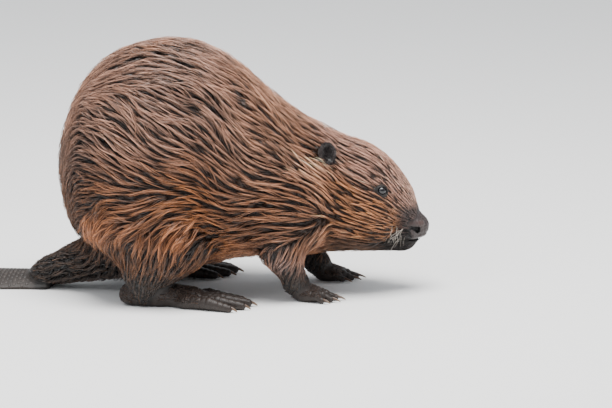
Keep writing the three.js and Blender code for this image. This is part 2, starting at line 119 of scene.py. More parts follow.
def cone(a, radius_a, b, radius_b):
    """Two balls with the cone that wraps them."""
    a = np.array(a, np.float32)
    ab = np.array(b, np.float32) - a
    length2 = float(ab @ ab)
    taper = radius_a - radius_b
    side2 = length2 - taper * taper

    def distance(p):
        pa = p - a
        along = pa @ ab
        beyond = along - length2
        across = pa * length2 - along[:, None] * ab
        across2 = np.einsum("ij,ij->i", across, across) / length2
        along2 = along * along
        beyond2 = beyond * beyond
        turn = np.sign(taper) * taper * taper * across2
        past_b = np.sign(beyond) * side2 * beyond2 > turn
        before_a = np.sign(along) * side2 * along2 < turn
        wall = (np.sqrt(across2 * side2) + along * taper) / length2 - radius_a
        wall = np.where(before_a, np.sqrt((across2 + along2) / length2) - radius_a, wall)
        return np.where(past_b, np.sqrt((across2 + beyond2) / length2) - radius_b, wall)

    return distance


def smooth_min(a, b, k):
    """The lower of two distances, with the crease between them filled over a width of k."""
    h = np.maximum(k - np.abs(a - b), 0) / k
    return np.minimum(a, b) - h * h * k / 4


def smooth_max(a, b, k):
    return -smooth_min(-a, -b, k)


def blend(masses):
    """Masses given as (shape, width of its blend), melted into one."""

    def distance(p):
        total = np.full(len(p), 1e6, np.float32)
        for shape, k in masses:
            total = smooth_min(total, shape(p), k)
        return total

    return distance


LOCAL_MARGIN = 9.0  # more than any blend that a local shape takes part in


def within(centre, radius, shape):
    """A small shape, worked out only in a ball round it. Outside, the distance to the ball is given."""
    centre = np.array(centre, np.float32)

    def distance(p):
        away = np.linalg.norm(p - centre, axis=1) - radius
        near = away < 0
        result = away + LOCAL_MARGIN
        if near.any():
            result[near] = shape(p[near])
        return result

    return distance


def smoothstep(low, high, x):
    t = np.clip((x - low) / (high - low), 0, 1)
    return t * t * (3 - 2 * t)


def both_sides(make):
    return [make(1), make(-1)]


# ---- The masses, out to the tips of the coat ----
trunk_masses = blend([
    (ellipsoid((-88, 0, 166), (148, 131, 168)), 20),  # rump
    (ellipsoid((-128, 0, 212), (83, 96, 102)), 20),  # croup
    (ellipsoid((-8, 0, 171), (122, 112, 99), 38.5), 30),  # loin
    (ellipsoid((50, 0, 134), (112, 88, 96.5), 26), 36),  # chest
    (ellipsoid((-50, 0, 110), (156, 114, 72)), 30),  # belly
])


def flat_trunk(p):
    return -smooth_min(-trunk_masses(p), p[:, 2] - BELLY_CLEARANCE, BELLY_ROUNDING)


torso = blend([
    (flat_trunk, 20),
    (ellipsoid((86, 0, 139), (88, 58, 77), 12), 26),  # neck
    (ellipsoid((147, 0, 144.5), (61, 54, 54), 34), 16),  # braincase
    (ellipsoid((179, 0, 128), (46, 40, 40), 52), 20),  # forehead
    *both_sides(lambda s: (ellipsoid((150, s * 38, 106), (52, 28, 42), 25), 20)),  # cheeks
    (cone((190, 0, 112), 37, (210, 0, 94), 26), 16),  # muzzle
    *both_sides(lambda s: (ellipsoid((214, s * 12, 84), (19, 17, 17), 20), 10)),  # lips
    (cone((130, 0, 90), 38, (211, 0, 69), 17), 14),  # lower jaw
    (ellipsoid((232, 0, 85), (14, 15.5, 15), 20), 8),  # nose
])


def front_foot(s):
    return 100 + s * FRONT_STAGGER, s * 66.0


def hind_foot(s):
    return -72 + s * HIND_STAGGER, s * 98.0


def front_leg(s):
    x, y = front_foot(s)
    return blend([
        (ellipsoid((64, s * 54, 116), (56, 44, 64), 15), 20),  # shoulder
        (cone((66, s * 66, 104), 34, (52, s * 78, 72), 27), 20),  # upper arm
        (cone((52, s * 78, 72), 25, (x - 13, y, 24), 15), 16),  # forearm
        (cone((x - 13, y, 24), 15, (x - 4, y, 12), 12), 8),  # wrist
    ])


def hind_leg(s):
    x, y = hind_foot(s)
    return blend([
        (ellipsoid((-108, s * 85, 114), (80, 57, 80), 8), 20),  # thigh
        (cone((-74, s * 102, 82), 36, (x - 58, y, 40), 24), 26),  # shank
        (cone((x - 58, y, 40), 22, (x - 58, y, 18), 19), 14),  # ankle
    ])


bend = math.radians(TAIL_BEND)
TAIL_HEADING = np.array([-math.cos(bend), math.sin(bend), 0.0])
TAIL_SIDE = np.array([-TAIL_HEADING[1], TAIL_HEADING[0], 0.0])
TAIL_STOCK_END = TAIL_ROOT * (1, 1, 0) + TAIL_STOCK_LENGTH * TAIL_HEADING + (0, 0, 18)

tail_stock = blend([
    (cone(TAIL_ROOT + s * 14 * TAIL_SIDE, 38, TAIL_STOCK_END + s * 13 * TAIL_SIDE, 16), 20) for s in SIDES
])

limbs = blend([(front_leg(1), 4), (front_leg(-1), 4), (hind_leg(1), 4), (hind_leg(-1), 4)])
LIMB_FILLET = 12.0
TAIL_FILLET = 20.0


# ---- The coat's depth ----
def head_depth(x):
    return np.interp(x, [96, 140, 185, 212, 226], [9.0, 5.5, 3.2, 1.5, 0.0])


def limb_depth(z):
    return np.interp(z, [20, 40, 70, 100], [0.4, 2.5, 6.0, 9.0])


def stock_depth(p):
    return np.interp((p - TAIL_ROOT) @ TAIL_HEADING, [30, 90, 112], [9.0, 5.0, 1.5])


def furred(p):
    """Distances to the tips of the coat, and to the skin below it."""
    parts = torso(p), limbs(p), tail_stock(p)
    depths = head_depth(p[:, 0]), limb_depth(p[:, 2]), stock_depth(p)

    def melted(values):
        trunk, legs, tail = values
        return smooth_min(smooth_min(trunk, legs, LIMB_FILLET), tail, TAIL_FILLET)

    return melted(parts), melted([value + depth for value, depth in zip(parts, depths)])


# ---- Feet ----
TOES = {
    "front": {
        "splay": 4,
        "angles": (-26, -11, 1, 13, 28),
        "lengths": (17, 25, 28, 26, 19),
        "spread": 6.4,
        "radii": (5.4, 5, 3.9),
        "heights": (8, 9, 4.4),
        "claw": (15, 2.5),
    },
    "hind": {
        "splay": 5,
        "angles": (-16, -8, 1, 10, 19),
        "lengths": (54, 67, 74, 71, 60),
        "spread": 9.5,
        "radii": (8.6, 7.6, 5.2),
        "heights": (9, 9.5, 5.2),
        "claw": (14, 3.2),
    },
}


def foot_ball(kind, s):
    x, y = front_foot(s) if kind == "front" else hind_foot(s)
    return np.array([x + 10 if kind == "front" else x, y, 0.0])


def toe_line(kind, i, s):
    """The heading, root, middle and tip of a toe."""
    sizes = TOES[kind]
    ball = foot_ball(kind, s)
    turn = math.radians(sizes["splay"] + sizes["angles"][i])
    heading = np.array([math.cos(turn), s * math.sin(turn), 0.0])
    low, mid, end = sizes["heights"]
    root = ball + (-abs(i - 2) * 3, s * (i - 2) * sizes["spread"], low)
    middle = root + heading * sizes["lengths"][i] * 0.55 + (0, 0, mid - low)
    tip = root + heading * sizes["lengths"][i] + (0, 0, end - low)
    return heading, root, middle, tip


WEB_TOP = 2.8
WEB_DIP = 0.16  # of the way back to the middle toe's root that the web's edge dips between two toes
WEB_REACH = 0.93  # of each toe that the web reaches along


def web_outline(lines):
    """The web's rim in plan: out along the first toe, across from toe to toe, and back along the last."""
    near_tips = [root + (tip - root) * WEB_REACH for _, root, _, tip in lines]
    middle_root = lines[2][1]
    rim = [lines[0][1], near_tips[0]]
    for a, b in zip(near_tips, near_tips[1:]):
        dip = (a + b) / 2 + WEB_DIP * (middle_root - (a + b) / 2)
        for t in np.linspace(0.2, 1, 5):
            rim.append(a * (1 - t) ** 2 + dip * 2 * t * (1 - t) + b * t * t)
    rim.append(lines[4][1])
    return np.array(rim)[:, :2]


def plate(outline, low, high):
    """A flat plate with the outline in plan, between two heights."""
    starts = outline.astype(np.float32)
    runs = np.roll(starts, -1, axis=0) - starts

    def distance(p):
        nearest = np.full(len(p), 1e6, np.float32)
        inside = np.zeros(len(p), bool)
        for (x, y), (dx, dy) in zip(starts, runs):
            px, py = p[:, 0] - x, p[:, 1] - y
            t = np.clip((px * dx + py * dy) / (dx * dx + dy * dy), 0, 1)
            nearest = np.minimum(nearest, np.hypot(px - t * dx, py - t * dy))
            crosses = (py < 0) != (py < dy)
            inside ^= crosses & (px < np.where(crosses, py * dx / (dy if dy else 1), 0))
        plan = np.where(inside, -nearest, nearest)
        return smooth_max(plan, np.maximum(p[:, 2] - high, low - p[:, 2]), 1.5)

    return distance


KNUCKLES = {"front": 4, "hind": 8}  # creases across each toe
KNUCKLE_DEPTH = 0.9
SOLE_ROUNDING = 1.5


def foot(kind, s):
    radii = TOES[kind]["radii"]
    lines = [toe_line(kind, i, s) for i in range(5)]
    masses = []
    for _, root, middle, tip in lines:
        masses += [(cone(root, radii[0], middle, radii[1]), 3), (cone(middle, radii[1], tip, radii[2]), 3)]
    if kind == "front":
        x, y = front_foot(s)
        masses += [
            (ellipsoid((x + 3, y, 8), (19, 17, 12.5)), 6),
            (cone((x - 13, y, 24), 13, (x - 4, y, 12), 11), 6),
        ]
        centre, radius = (x + 14, y, 8), 50
    else:
        x, y = hind_foot(s)
        masses += [
            (ellipsoid((x - 2, y, 7), (26, 27, 10.5)), 6),
            (cone((x - 78, y - s * 4, 14), 14, (x - 40, y - s * 2, 14), 16), 8),
            (cone((x - 40, y - s * 2, 14), 16, (x + 4, y + s, 9), 15), 8),
            (plate(web_outline(lines), 0.2, WEB_TOP), 3.5),
        ]
        centre, radius = (x - 4, y, 8), 108
    whole = blend(masses)

    def creased(p):
        value = whole(p)
        for heading, root, _, tip in lines:
            along = (p - root) @ heading / np.linalg.norm((tip - root)[:2])
            aside = np.abs((p - root) @ np.array([-heading[1], heading[0], 0]))
            on_toe = (aside < radii[0]) & (along > 0) & (along < 1.05)
            swell = np.abs(np.sin(along * math.pi * KNUCKLES[kind])) ** 0.5
            value = value + on_toe * (KNUCKLE_DEPTH * (1 - swell)) * smoothstep(3, 6, p[:, 2])
        return smooth_max(value, -p[:, 2], SOLE_ROUNDING)

    return within(centre, radius, creased)


feet = {(kind, s): foot(kind, s) for kind in TOES for s in SIDES}


# ---- Tail paddle ----
PADDLE_START = TAIL_STOCK_END * (1, 1, 0) + 4.3 * TAIL_HEADING
PADDLE_FULL = 0.62  # share of its length where the round end begins
PADDLE_WIDENING = (-0.12, 0.62)  # where it starts to widen, and over how much of its length
PADDLE_THINNING = 0.62  # of its thickness, lost from root to tip
TIP_POWER = 2.4  # a rounder tip the higher it is
CROWN_POWER = 1.7
SCALE_HEIGHT = 0.7


def paddle_plan(t):
    """Half the width the paddle would have with no round end, and how fast that changes with t."""
    share = np.clip((t - PADDLE_WIDENING[0]) / PADDLE_WIDENING[1], 0, 1)
    more = PADDLE_HALF_WIDTH - PADDLE_BASE_HALF_WIDTH
    width = PADDLE_BASE_HALF_WIDTH + more * share * share * (3 - 2 * share)
    return width, more * 6 * share * (1 - share) / PADDLE_WIDENING[1]


def past_full(t):
    """0 where the round end begins, and 1 at the tip."""
    return np.maximum(t - PADDLE_FULL, 0) / (1 - PADDLE_FULL)


def paddle_top(t, v):
    spine = PADDLE_THICKNESS * (1 - PADDLE_THINNING * np.clip(t, 0, 1))
    return PADDLE_EDGE + (spine - PADDLE_EDGE) * (1 - np.minimum(np.abs(v), 1) ** CROWN_POWER)


def paddle_shape(p):
    t = (p - PADDLE_START) @ TAIL_HEADING / PADDLE_LENGTH
    across = (p - PADDLE_START) @ TAIL_SIDE
    width, widening = paddle_plan(t)
    tip = past_full(t)
    rim = (across / width) ** 2 + tip**TIP_POWER
    slope_across = 2 * np.abs(across) / width**2
    tip_slope = TIP_POWER * tip ** (TIP_POWER - 1) / (1 - PADDLE_FULL)
    slope_along = (tip_slope - 2 * across**2 * widening / width**3) / PADDLE_LENGTH
    plan = (rim - 1) / np.maximum(np.hypot(slope_across, slope_along), 0.02)
    edge = np.sqrt(np.maximum(1 - tip**TIP_POWER, 0.0025))
    top = p[:, 2] - (paddle_top(t, across / (width * edge)) - SCALE_HEIGHT)
    solid = smooth_max(smooth_max(plan, top, 2.5), -p[:, 2], SOLE_ROUNDING)
    return np.maximum(solid, -20 - t * PADDLE_LENGTH)


PADDLE_MIDDLE = PADDLE_START + 118 * TAIL_HEADING
PADDLE_REACH = 170

paddle = within(PADDLE_MIDDLE, PADDLE_REACH, paddle_shape)


# ---- Ears ----
EAR = {"x": 113, "y": 57, "z": 191, "radii": (11, 8, 14), "pitch": 8, "yaw": 25, "roll": 20}
EAR_HOLLOW = {"outward": 6, "radii": (8.6, 8, 11.6)}
EAR_STEM = {"inward": 14, "down": 17, "radii": (8, 11)}
EAR_REACH = 34
EAR_LIP = 1.6


def ear(s):
    middle = np.array([EAR["x"], s * EAR["y"], EAR["z"]], float)
    yaw = math.radians(EAR["yaw"])
    opening = np.array([math.sin(yaw), s * math.cos(yaw), 0])
    turns = EAR["pitch"], -s * EAR["yaw"], s * EAR["roll"]
    foot_of_ear = middle - (0, s * EAR_STEM["inward"], EAR_STEM["down"])
    cup = blend([
        (ellipsoid(middle, EAR["radii"], *turns), 4),
        (cone(middle - (0, s * 4, 6), EAR_STEM["radii"][0], foot_of_ear, EAR_STEM["radii"][1]), 5),
    ])
    hollow = ellipsoid(middle + EAR_HOLLOW["outward"] * opening, EAR_HOLLOW["radii"], *turns)
    return within(middle, EAR_REACH, lambda p: smooth_max(cup(p), -hollow(p), EAR_LIP))


ears = {s: ear(s) for s in SIDES}

# ---- Eyes ----
LID_RADIUS = EYE_RADIUS + 1.5
OPENING = (5.9, 4.9)  # half the eye opening's length and height
OPENING_FLOOR = 1.5  # the opening is cut down to this far in front of the eye's centre, inside the eyeball
OPENING_TILT = 14.0  # degrees that the front corner is lower than the rear one
TEAR_CORNER = {"out": 6.3, "forward": 5.0, "radii": (2.8, 1.3, 2.2)}
LID_REACH = 22  # from the eye's centre, past which the lids don't change the skin
LID_BLEND = 6
LID_EDGE = 1.1
TEAR_EDGE = 0.8
LID_CREASE = {"depth": 0.55, "ring": 1.75, "width": 0.16}  # ring and width as shares of the opening


def eye_axes(s):
    """The way the eye looks, towards its front corner, and up across it."""
    look = np.array([0.26, s * 0.94, 0.2])
    look /= np.linalg.norm(look)
    tilt = math.radians(OPENING_TILT)
    front = np.array([math.cos(tilt), 0, -math.sin(tilt)])
    front -= look * (front @ look)
    front /= np.linalg.norm(front)
    up = np.cross(look, front)
    return look, front, up if up[2] > 0 else -up


def eye_place(p, s):
    look, front, up = eye_axes(s)
    q = p - EYE_CENTRES[s]
    return q @ look, q @ front, q @ up


def lids(p, skin, s):
    """The lids as a mound round the eyeball, with the opening cut through it and a crease above."""
    near = np.linalg.norm(p - EYE_CENTRES[s], axis=1) < LID_REACH
    if not near.any():
        return skin
    q = p[near]
    look, front, up = eye_place(q, s)
    mound = np.linalg.norm(q - EYE_CENTRES[s], axis=1) - LID_RADIUS
    value = smooth_min(skin[near], mound, LID_BLEND)
    ring = np.hypot(front / OPENING[0], up / OPENING[1])
    crease = np.exp(-(((ring - LID_CREASE["ring"]) / LID_CREASE["width"]) ** 2))
    value = value + LID_CREASE["depth"] * crease * smoothstep(-0.5, 3, up) * (look > 0)
    cut = np.maximum((ring - 1) * OPENING[1], OPENING_FLOOR - look)
    value = smooth_max(value, -cut, LID_EDGE)
    a, b, c = TEAR_CORNER["radii"]
    out, forward = front - TEAR_CORNER["out"], look - TEAR_CORNER["forward"]
    corner = np.sqrt((out / a) ** 2 + (up / b) ** 2 + (forward / c) ** 2)
    value = smooth_max(value, -(corner - 1) * b, TEAR_EDGE)
    result = skin.copy()
    result[near] = value
    return result


# ---- Nose and mouth ----
NOSTRIL = {"rear": (221.0, 26.5, 88.0), "front": (230.5, 19.5, 83.5), "radii": (1.8, 3.9)}
NOSTRIL_RIM = {"rear": (218.5, 26.0, 93.0), "front": (235.0, 14.5, 91.0), "radii": (2.4, 3.4)}
WING_GROOVE = {"rear": (214.5, 28.5, 84.0), "front": (223.0, 25.5, 76.5), "radii": (1.2, 1.8)}


def pair_of_cones(shape):
    """A tapering cone from rear to front on each side of the nose."""
    rear_radius, front_radius = shape["radii"]
    ends = [[np.multiply(shape[end], (1, s, 1)) for end in ("rear", "front")] for s in SIDES]
    return blend([(cone(rear, rear_radius, front, front_radius), 0.5) for rear, front in ends])


nostrils = pair_of_cones(NOSTRIL)
nostril_rims = pair_of_cones(NOSTRIL_RIM)
wing_grooves = pair_of_cones(WING_GROOVE)


def mouth_height(p):
    """How far a point lies above the mouth line."""
    return p[:, 2] - (MOUTH_FRONT[1] + (MOUTH_FRONT[0] - p[:, 0]) * math.tan(math.radians(MOUTH_RISE)))


WAVES = 5


def waves(p, length, seed):
    """Smooth noise from -1 to 1: a few crossing waves of about this length in mm."""
    draw = np.random.default_rng(seed)
    p = np.asarray(p, float)
    total = np.zeros(len(p))
    for _ in range(WAVES):
        direction = unit(draw.normal(size=3))
        turns = 2 * math.pi / (length * draw.uniform(0.7, 1.4))
        total += np.sin(p @ direction * turns + draw.uniform(0, 7))
    return total / WAVES**0.5 / 1.2


def past_nose_line(p):
    """How far a point lies inside the bare nose."""
    x, _, z = p.T
    return x - (221.0 + 0.6 * np.maximum(z - 89, 0) + 0.3 * np.maximum(80 - z, 0))


def bell(x, width):
    """1 where x is 0, falling off evenly on both sides."""
    return np.exp(-((x / width) ** 2))


MUZZLE_MIDDLE = np.array([207, 0, 76])
MUZZLE_REACH = 62  # from its middle, past which the nose and mouth don't change the skin
MOUTH_DEPTH = 2.6
LIP_SWELL = 0.7
CLEFT_DEPTH = 1.3
LEATHER_GRAINS = ((0.22, 3.4, 31), (0.16, 2.2, 32))  # height, length and seed


def nose_and_mouth(p, skin):
    """The mouth's line, the lip, the cleft, the nostrils and the nose's leather, worked into the skin."""
    near = np.linalg.norm(p - MUZZLE_MIDDLE, axis=1) < MUZZLE_REACH
    near &= p[:, 0] > MOUTH_CORNER_X - 6
    if not near.any():
        return skin
    q = p[near]
    x, y, z = q.T
    value = skin[near]
    line = mouth_height(q)
    groove = MOUTH_DEPTH * bell(line, 1.3) * smoothstep(MOUTH_CORNER_X, MOUTH_CORNER_X + 9, x)
    lip_fold = -LIP_SWELL * bell(line - 4.5, 2.4) * smoothstep(MOUTH_CORNER_X, MOUTH_CORNER_X + 20, x)
    cleft = CLEFT_DEPTH * bell(y, 1.0) * smoothstep(232, 238, x) * smoothstep(94, 88, z)
    cleft = cleft * smoothstep(-1, 2, line)
    value = smooth_min(value + groove + lip_fold + cleft, nostril_rims(q), 4)
    value = smooth_max(value, -wing_grooves(q), 2)
    value = smooth_max(value, -nostrils(q), 1.2)
    leather = smoothstep(-2, 3, past_nose_line(q)) * (line > 1)
    value = value + leather * sum(height * waves(q, length, seed) for height, length, seed in LEATHER_GRAINS)
    result = skin.copy()
    result[near] = value
    return result


# ---- The skin ----
PADDLE_FILLET = 8
FOOT_FILLET = 5
EAR_FILLET = 4
FLOOR_ROUNDING = 1.0


def skin_distance(p):
    p = np.asarray(p, np.float32)
    _, value = furred(p)
    value = smooth_min(value, paddle(p), PADDLE_FILLET)
    for part in feet.values():
        value = smooth_min(value, part(p), FOOT_FILLET)
    for part in ears.values():
        value = smooth_min(value, part(p), EAR_FILLET)
    for s in SIDES:
        value = lids(p, value, s)
    value = nose_and_mouth(p, value)
    return smooth_max(value, -p[:, 2], FLOOR_ROUNDING)


CHUNK = 150_000


def evaluate(shape, points):
    return np.concatenate([shape(points[i : i + CHUNK]) for i in range(0, len(points), CHUNK)])


def slope(shape, points, step=0.4):
    """The gradient of a distance, from four points round each place."""
    corners = np.array([[1, -1, -1], [-1, -1, 1], [-1, 1, -1], [1, 1, 1]], np.float32)
    total = np.zeros((len(points), 3), np.float32)
    for corner in corners:
        places = np.asarray(points + step * corner, np.float32)
        total += corner * evaluate(shape, places)[:, None]
    return total / (4 * step)


def unit(vectors):
    return vectors / np.maximum(np.linalg.norm(vectors, axis=-1, keepdims=True), 1e-9)


# The skin's mesh is drawn through cells that straddle the skin, smaller where there is more to show.
# Lattice units are the smallest cell's side.
LATTICE = 0.5  # mm
CELL_SIZES = (32, 8, 4, 2, 1)  # in lattice units
LATTICE_ORIGIN = np.array([-528.0, -160.0, -8.0])
LATTICE_SPAN = np.array([784.0, 320.0, 352.0])
HALF_DIAGONAL = 0.87  # of a cell's side, from its middle to a corner
CELL_MARGIN = 1.3
CELL_SLACK = 0.7  # mm more, since the distances aren't exact
FINE_REACH = {"front": (20, 50), "hind": (22, 94)}  # behind the ball of a foot, and all round it


def cell_level(p):
    """The level of cell wanted at a place: an index into CELL_SIZES."""
    x, _, z = p.T
    level = np.full(len(p), 1)
    level[(p - PADDLE_START) @ TAIL_HEADING > -12] = 2
    fine = (x > 172) & (z > 36)
    for s in SIDES:
        fine |= np.linalg.norm(p - (EAR["x"], s * EAR["y"], EAR["z"]), axis=1) < 24
    for kind, s in feet:
        behind, around = FINE_REACH[kind]
        away = p[:, :2] - foot_ball(kind, s)[:2]
        fine |= (z < 26) & (away[:, 0] > -behind) & (np.linalg.norm(away, axis=1) < around)
    level[fine] = 3
    finest = (x > 219) & (z > 66)
    for s in SIDES:
        finest |= np.linalg.norm(p - EYE_CENTRES[s], axis=1) < 11.5
    level[finest] = 4
    return level


def cell_keys(cells):
    cells = cells.astype(np.int64)
    return (cells[:, 0] << 40) | (cells[:, 1] << 20) | cells[:, 2]


def split(cells, ratio):
    steps = np.stack(np.meshgrid(*[np.arange(ratio)] * 3, indexing="ij"), -1).reshape(-1, 3)
    return (cells[:, None, :] * ratio + steps).reshape(-1, 3)


def straddling_cells():
    """For each level, the cells that the skin passes through."""
    size = CELL_SIZES[0] * LATTICE
    counts = (LATTICE_SPAN / size).astype(int)
    cells = np.stack(np.meshgrid(*[np.arange(n) for n in counts], indexing="ij"), -1).reshape(-1, 3)
    leaves = []
    for level, units in enumerate(CELL_SIZES):
        size = units * LATTICE
        middles = LATTICE_ORIGIN + (cells + 0.5) * size
        reach = size * HALF_DIAGONAL * CELL_MARGIN + CELL_SLACK
        close = np.abs(evaluate(skin_distance, middles)) < reach
        cells, middles = cells[close], middles[close]
        final = cell_level(middles) <= level if level else np.zeros(len(cells), bool)
        leaves.append(cells[final])
        if level + 1 < len(CELL_SIZES):
            cells = split(cells[~final], units // CELL_SIZES[level + 1])
    return leaves


def crossed_edges(cells, level):
    """The cells' edges that the skin crosses, axis by axis: their starts, the places and which lead out."""
    size = CELL_SIZES[level] * LATTICE
    corners = np.concatenate([cells + offset for offset in np.ndindex(2, 2, 2)])
    corner_keys, where = np.unique(cell_keys(corners), return_index=True)
    values = evaluate(skin_distance, LATTICE_ORIGIN + corners[where] * size)
    for axis in range(3):
        ahead = np.eye(3, dtype=int)[axis]
        starts = np.concatenate([cells + np.roll([0, i, j], axis) for i in (0, 1) for j in (0, 1)])
        start_keys, where = np.unique(cell_keys(starts), return_index=True)
        starts = starts[where]
        value_a = values[np.searchsorted(corner_keys, start_keys)]
        value_b = values[np.searchsorted(corner_keys, cell_keys(starts + ahead))]
        crossing = (value_a < 0) != (value_b < 0)
        starts, value_a, value_b = starts[crossing], value_a[crossing], value_b[crossing]
        share = value_a / (value_a - value_b)
        places = LATTICE_ORIGIN + (starts + share[:, None] * ahead) * size
        yield axis, starts, places, value_a < 0


def with_triangles(faces):
    """Faces with two corners alike made into triangles, and without those that have more alike."""
    repeats = faces == np.roll(faces, -1, axis=1)
    three = repeats.sum(1) == 1
    shift = np.argmax(repeats, axis=1)
    rolled = np.take_along_axis(faces, (np.arange(4) + shift[:, None] + 1) % 4, axis=1)
    faces[three] = rolled[three]
    faces[three, 3] = -1
    return faces[repeats.sum(1) <= 1]


SETTLING_STEPS = 3
LONGEST_MOVE = 1.2  # mm in one step


def settled(points):
    """Points moved onto the skin."""
    for _ in range(SETTLING_STEPS):
        value = evaluate(skin_distance, points)
        steep = slope(skin_distance, points)
        size2 = np.maximum((steep**2).sum(1), 0.25)
        move = -steep * (value / size2)[:, None]
        length = np.linalg.norm(move, axis=1, keepdims=True)
        points = points + move * np.minimum(1, LONGEST_MOVE / np.maximum(length, 1e-6))
    return points


AROUND_AN_EDGE = ((0, 0), (1, 0), (1, 1), (0, 1))  # steps back to the four cells that share it


def skin_surface():
    """The skin's vertices in mm, and its faces as rows of four vertices, the last -1 in a triangle."""
    leaves = [cells[np.argsort(cell_keys(cells))] for cells in straddling_cells()]
    leaf_keys = [cell_keys(cells) for cells in leaves]
    firsts = np.cumsum([0] + [len(cells) for cells in leaves])
    count = firsts[-1]
    sums = np.zeros((count, 3))
    hits = np.zeros(count)

    def leaf_at(cells, level):
        """The leaf that holds each cell of this level, or -1."""
        found = np.full(len(cells), -1)
        for coarser in range(level, 0, -1):
            keys = cell_keys(cells // (CELL_SIZES[coarser] // CELL_SIZES[level]))
            at = np.minimum(np.searchsorted(leaf_keys[coarser], keys), len(leaf_keys[coarser]) - 1)
            match = (leaf_keys[coarser][at] == keys) & (found < 0)
            found[match] = at[match] + firsts[coarser]
        return found

    faces = []
    for level in range(1, len(CELL_SIZES)):
        for axis, starts, places, outward in crossed_edges(leaves[level], level):
            back = [np.roll([0, i, j], axis) for i, j in AROUND_AN_EDGE]
            around = np.stack([leaf_at(starts - steps, level) for steps in back], 1)
            whole = (around >= 0).all(1)
            around, places, outward = around[whole], places[whole], outward[whole]
            for column in around.T:
                for k in range(3):
                    sums[:, k] += np.bincount(column, places[:, k], minlength=count)
                hits += np.bincount(column, minlength=count)
            around[~outward] = around[~outward][:, ::-1]
            faces.append(around)
    faces = with_triangles(np.concatenate(faces))
    used = np.unique(faces[faces >= 0])
    renumber = np.full(count + 1, -1)
    renumber[used] = np.arange(len(used))
    points = settled((sums[used] / hits[used, None]).astype(np.float32))
    return close_pinholes(points, renumber[faces])


def close_pinholes(points, faces):
    """Caps the few holes, a cell across, that are left where the skin folds too sharply for the cells."""
    last = np.where(faces[:, 3] < 0, 2, 3)
    after = np.roll(faces, -1, axis=1)
    after[np.arange(len(faces)), last] = faces[:, 0]
    real = faces >= 0
    starts, ends = faces[real], after[real]
    keys = (np.minimum(starts, ends).astype(np.int64) << 32) | np.maximum(starts, ends)
    _, where, uses = np.unique(keys, return_inverse=True, return_counts=True)
    rim = uses[where] == 1
    following = dict(zip(starts[rim].tolist(), ends[rim].tolist()))
    caps, middles = [], []
    while following:
        at, hole = next(iter(following)), []
        while at in following:
            hole.append(at)
            at = following.pop(at)
        middle = len(points) + len(middles)
        middles.append(points[hole].mean(0))
        caps += [(hole[(i + 1) % len(hole)], hole[i], middle, -1) for i in range(len(hole))]
    if not middles:
        return points, faces
    return np.concatenate([points, middles]).astype(np.float32), np.concatenate([faces, caps])


# ---- Meshes ----
def joined(parts):
    """Several lots of points and faces as one."""
    points, faces, first = [], [], 0
    for part_points, part_faces in parts:
        points.append(part_points)
        faces.append(np.where(part_faces < 0, -1, part_faces + first))
        first += len(part_points)
    return np.concatenate(points), np.concatenate(faces)


def add_mesh(name, points, faces, material, colours):
    """A mesh piece from points in mm and faces as rows of four, the last -1 in a triangle."""
    faces = np.asarray(faces)
    sizes = np.where(faces[:, 3] < 0, 3, 4)
    mesh = bpy.data.meshes.new(name)
    mesh.vertices.add(len(points))
    mesh.vertices.foreach_set("co", to_metres(points).astype(np.float32).ravel())
    mesh.loops.add(int(sizes.sum()))
    mesh.loops.foreach_set("vertex_index", faces[faces >= 0].astype(np.int32))
    mesh.polygons.add(len(faces))
    mesh.polygons.foreach_set("loop_start", (np.cumsum(sizes) - sizes).astype(np.int32))
    mesh.polygons.foreach_set("use_smooth", np.ones(len(faces), bool))
    mesh.update(calc_edges=True)
    tint = mesh.color_attributes.new("Tint", "FLOAT_COLOR", "POINT")
    rgba = np.ones((len(points), 4), np.float32)
    rgba[:, :3] = colours
    tint.data.foreach_set("color", rgba.ravel())
    piece = bpy.data.objects.new(name, mesh)
    bpy.context.scene.collection.objects.link(piece)
    mesh.materials.append(material)
    return piece


# ---- Colours, the same for skin and coat ----
def srgb(r, g, b):
    """Linear light from the colour as seen on a screen."""
    c = np.array([r, g, b], float)
    return np.where(c <= 0.04045, c / 12.92, ((c + 0.055) / 1.055) ** 2.4)


# The back, shoulder and crown colours are lighter and pinker than the coat's own brown: partly painted sheen,
# as wet fur shows where it faces the sky.
BACK = srgb(0.56, 0.42, 0.35)
SHOULDER = srgb(0.58, 0.42, 0.33)
CROWN = srgb(0.70, 0.53, 0.455)
FLANK = srgb(0.50, 0.31, 0.175)
CHEEK = srgb(0.64, 0.43, 0.28)
EAR_HIGHLIGHT = srgb(0.88, 0.65, 0.52)
TUFT = srgb(0.58, 0.37, 0.235)
MUZZLE = srgb(0.38, 0.31, 0.29)
LIP = srgb(0.13, 0.10, 0.09)
NOSTRIL_SHADE = srgb(0.03, 0.02, 0.02)
UNDERSIDE = srgb(0.22, 0.16, 0.12)
LEG_FUR = srgb(0.26, 0.19, 0.15)
ELBOW_SHEEN = srgb(0.50, 0.42, 0.40)
RUMP = srgb(0.31, 0.22, 0.17)
UNDERFUR_AND_GAP_SHADE = srgb(0.05, 0.038, 0.032)
NOSE_LEATHER = srgb(0.21, 0.175, 0.17)
NOSTRIL_RIM_AND_HIGHLIGHT = srgb(0.36, 0.27, 0.25)
LID_BLACK = srgb(0.07, 0.055, 0.05)
PAW_SKIN = srgb(0.16, 0.13, 0.115)
EAR_SKIN = srgb(0.085, 0.07, 0.07)
EAR_FUR = srgb(0.17, 0.135, 0.13)
TAIL_SKIN = srgb(0.18, 0.155, 0.14)


def mixed(a, b, share):
    share = np.asarray(share)[..., None]
    return a * (1 - share) + b * share


def spot(x, z, middle, reach):
    """1 at a place seen from the side, falling off smoothly round it."""
    return np.exp(-(((x - middle[0]) / reach[0]) ** 2) - ((z - middle[1]) / reach[1]) ** 2)


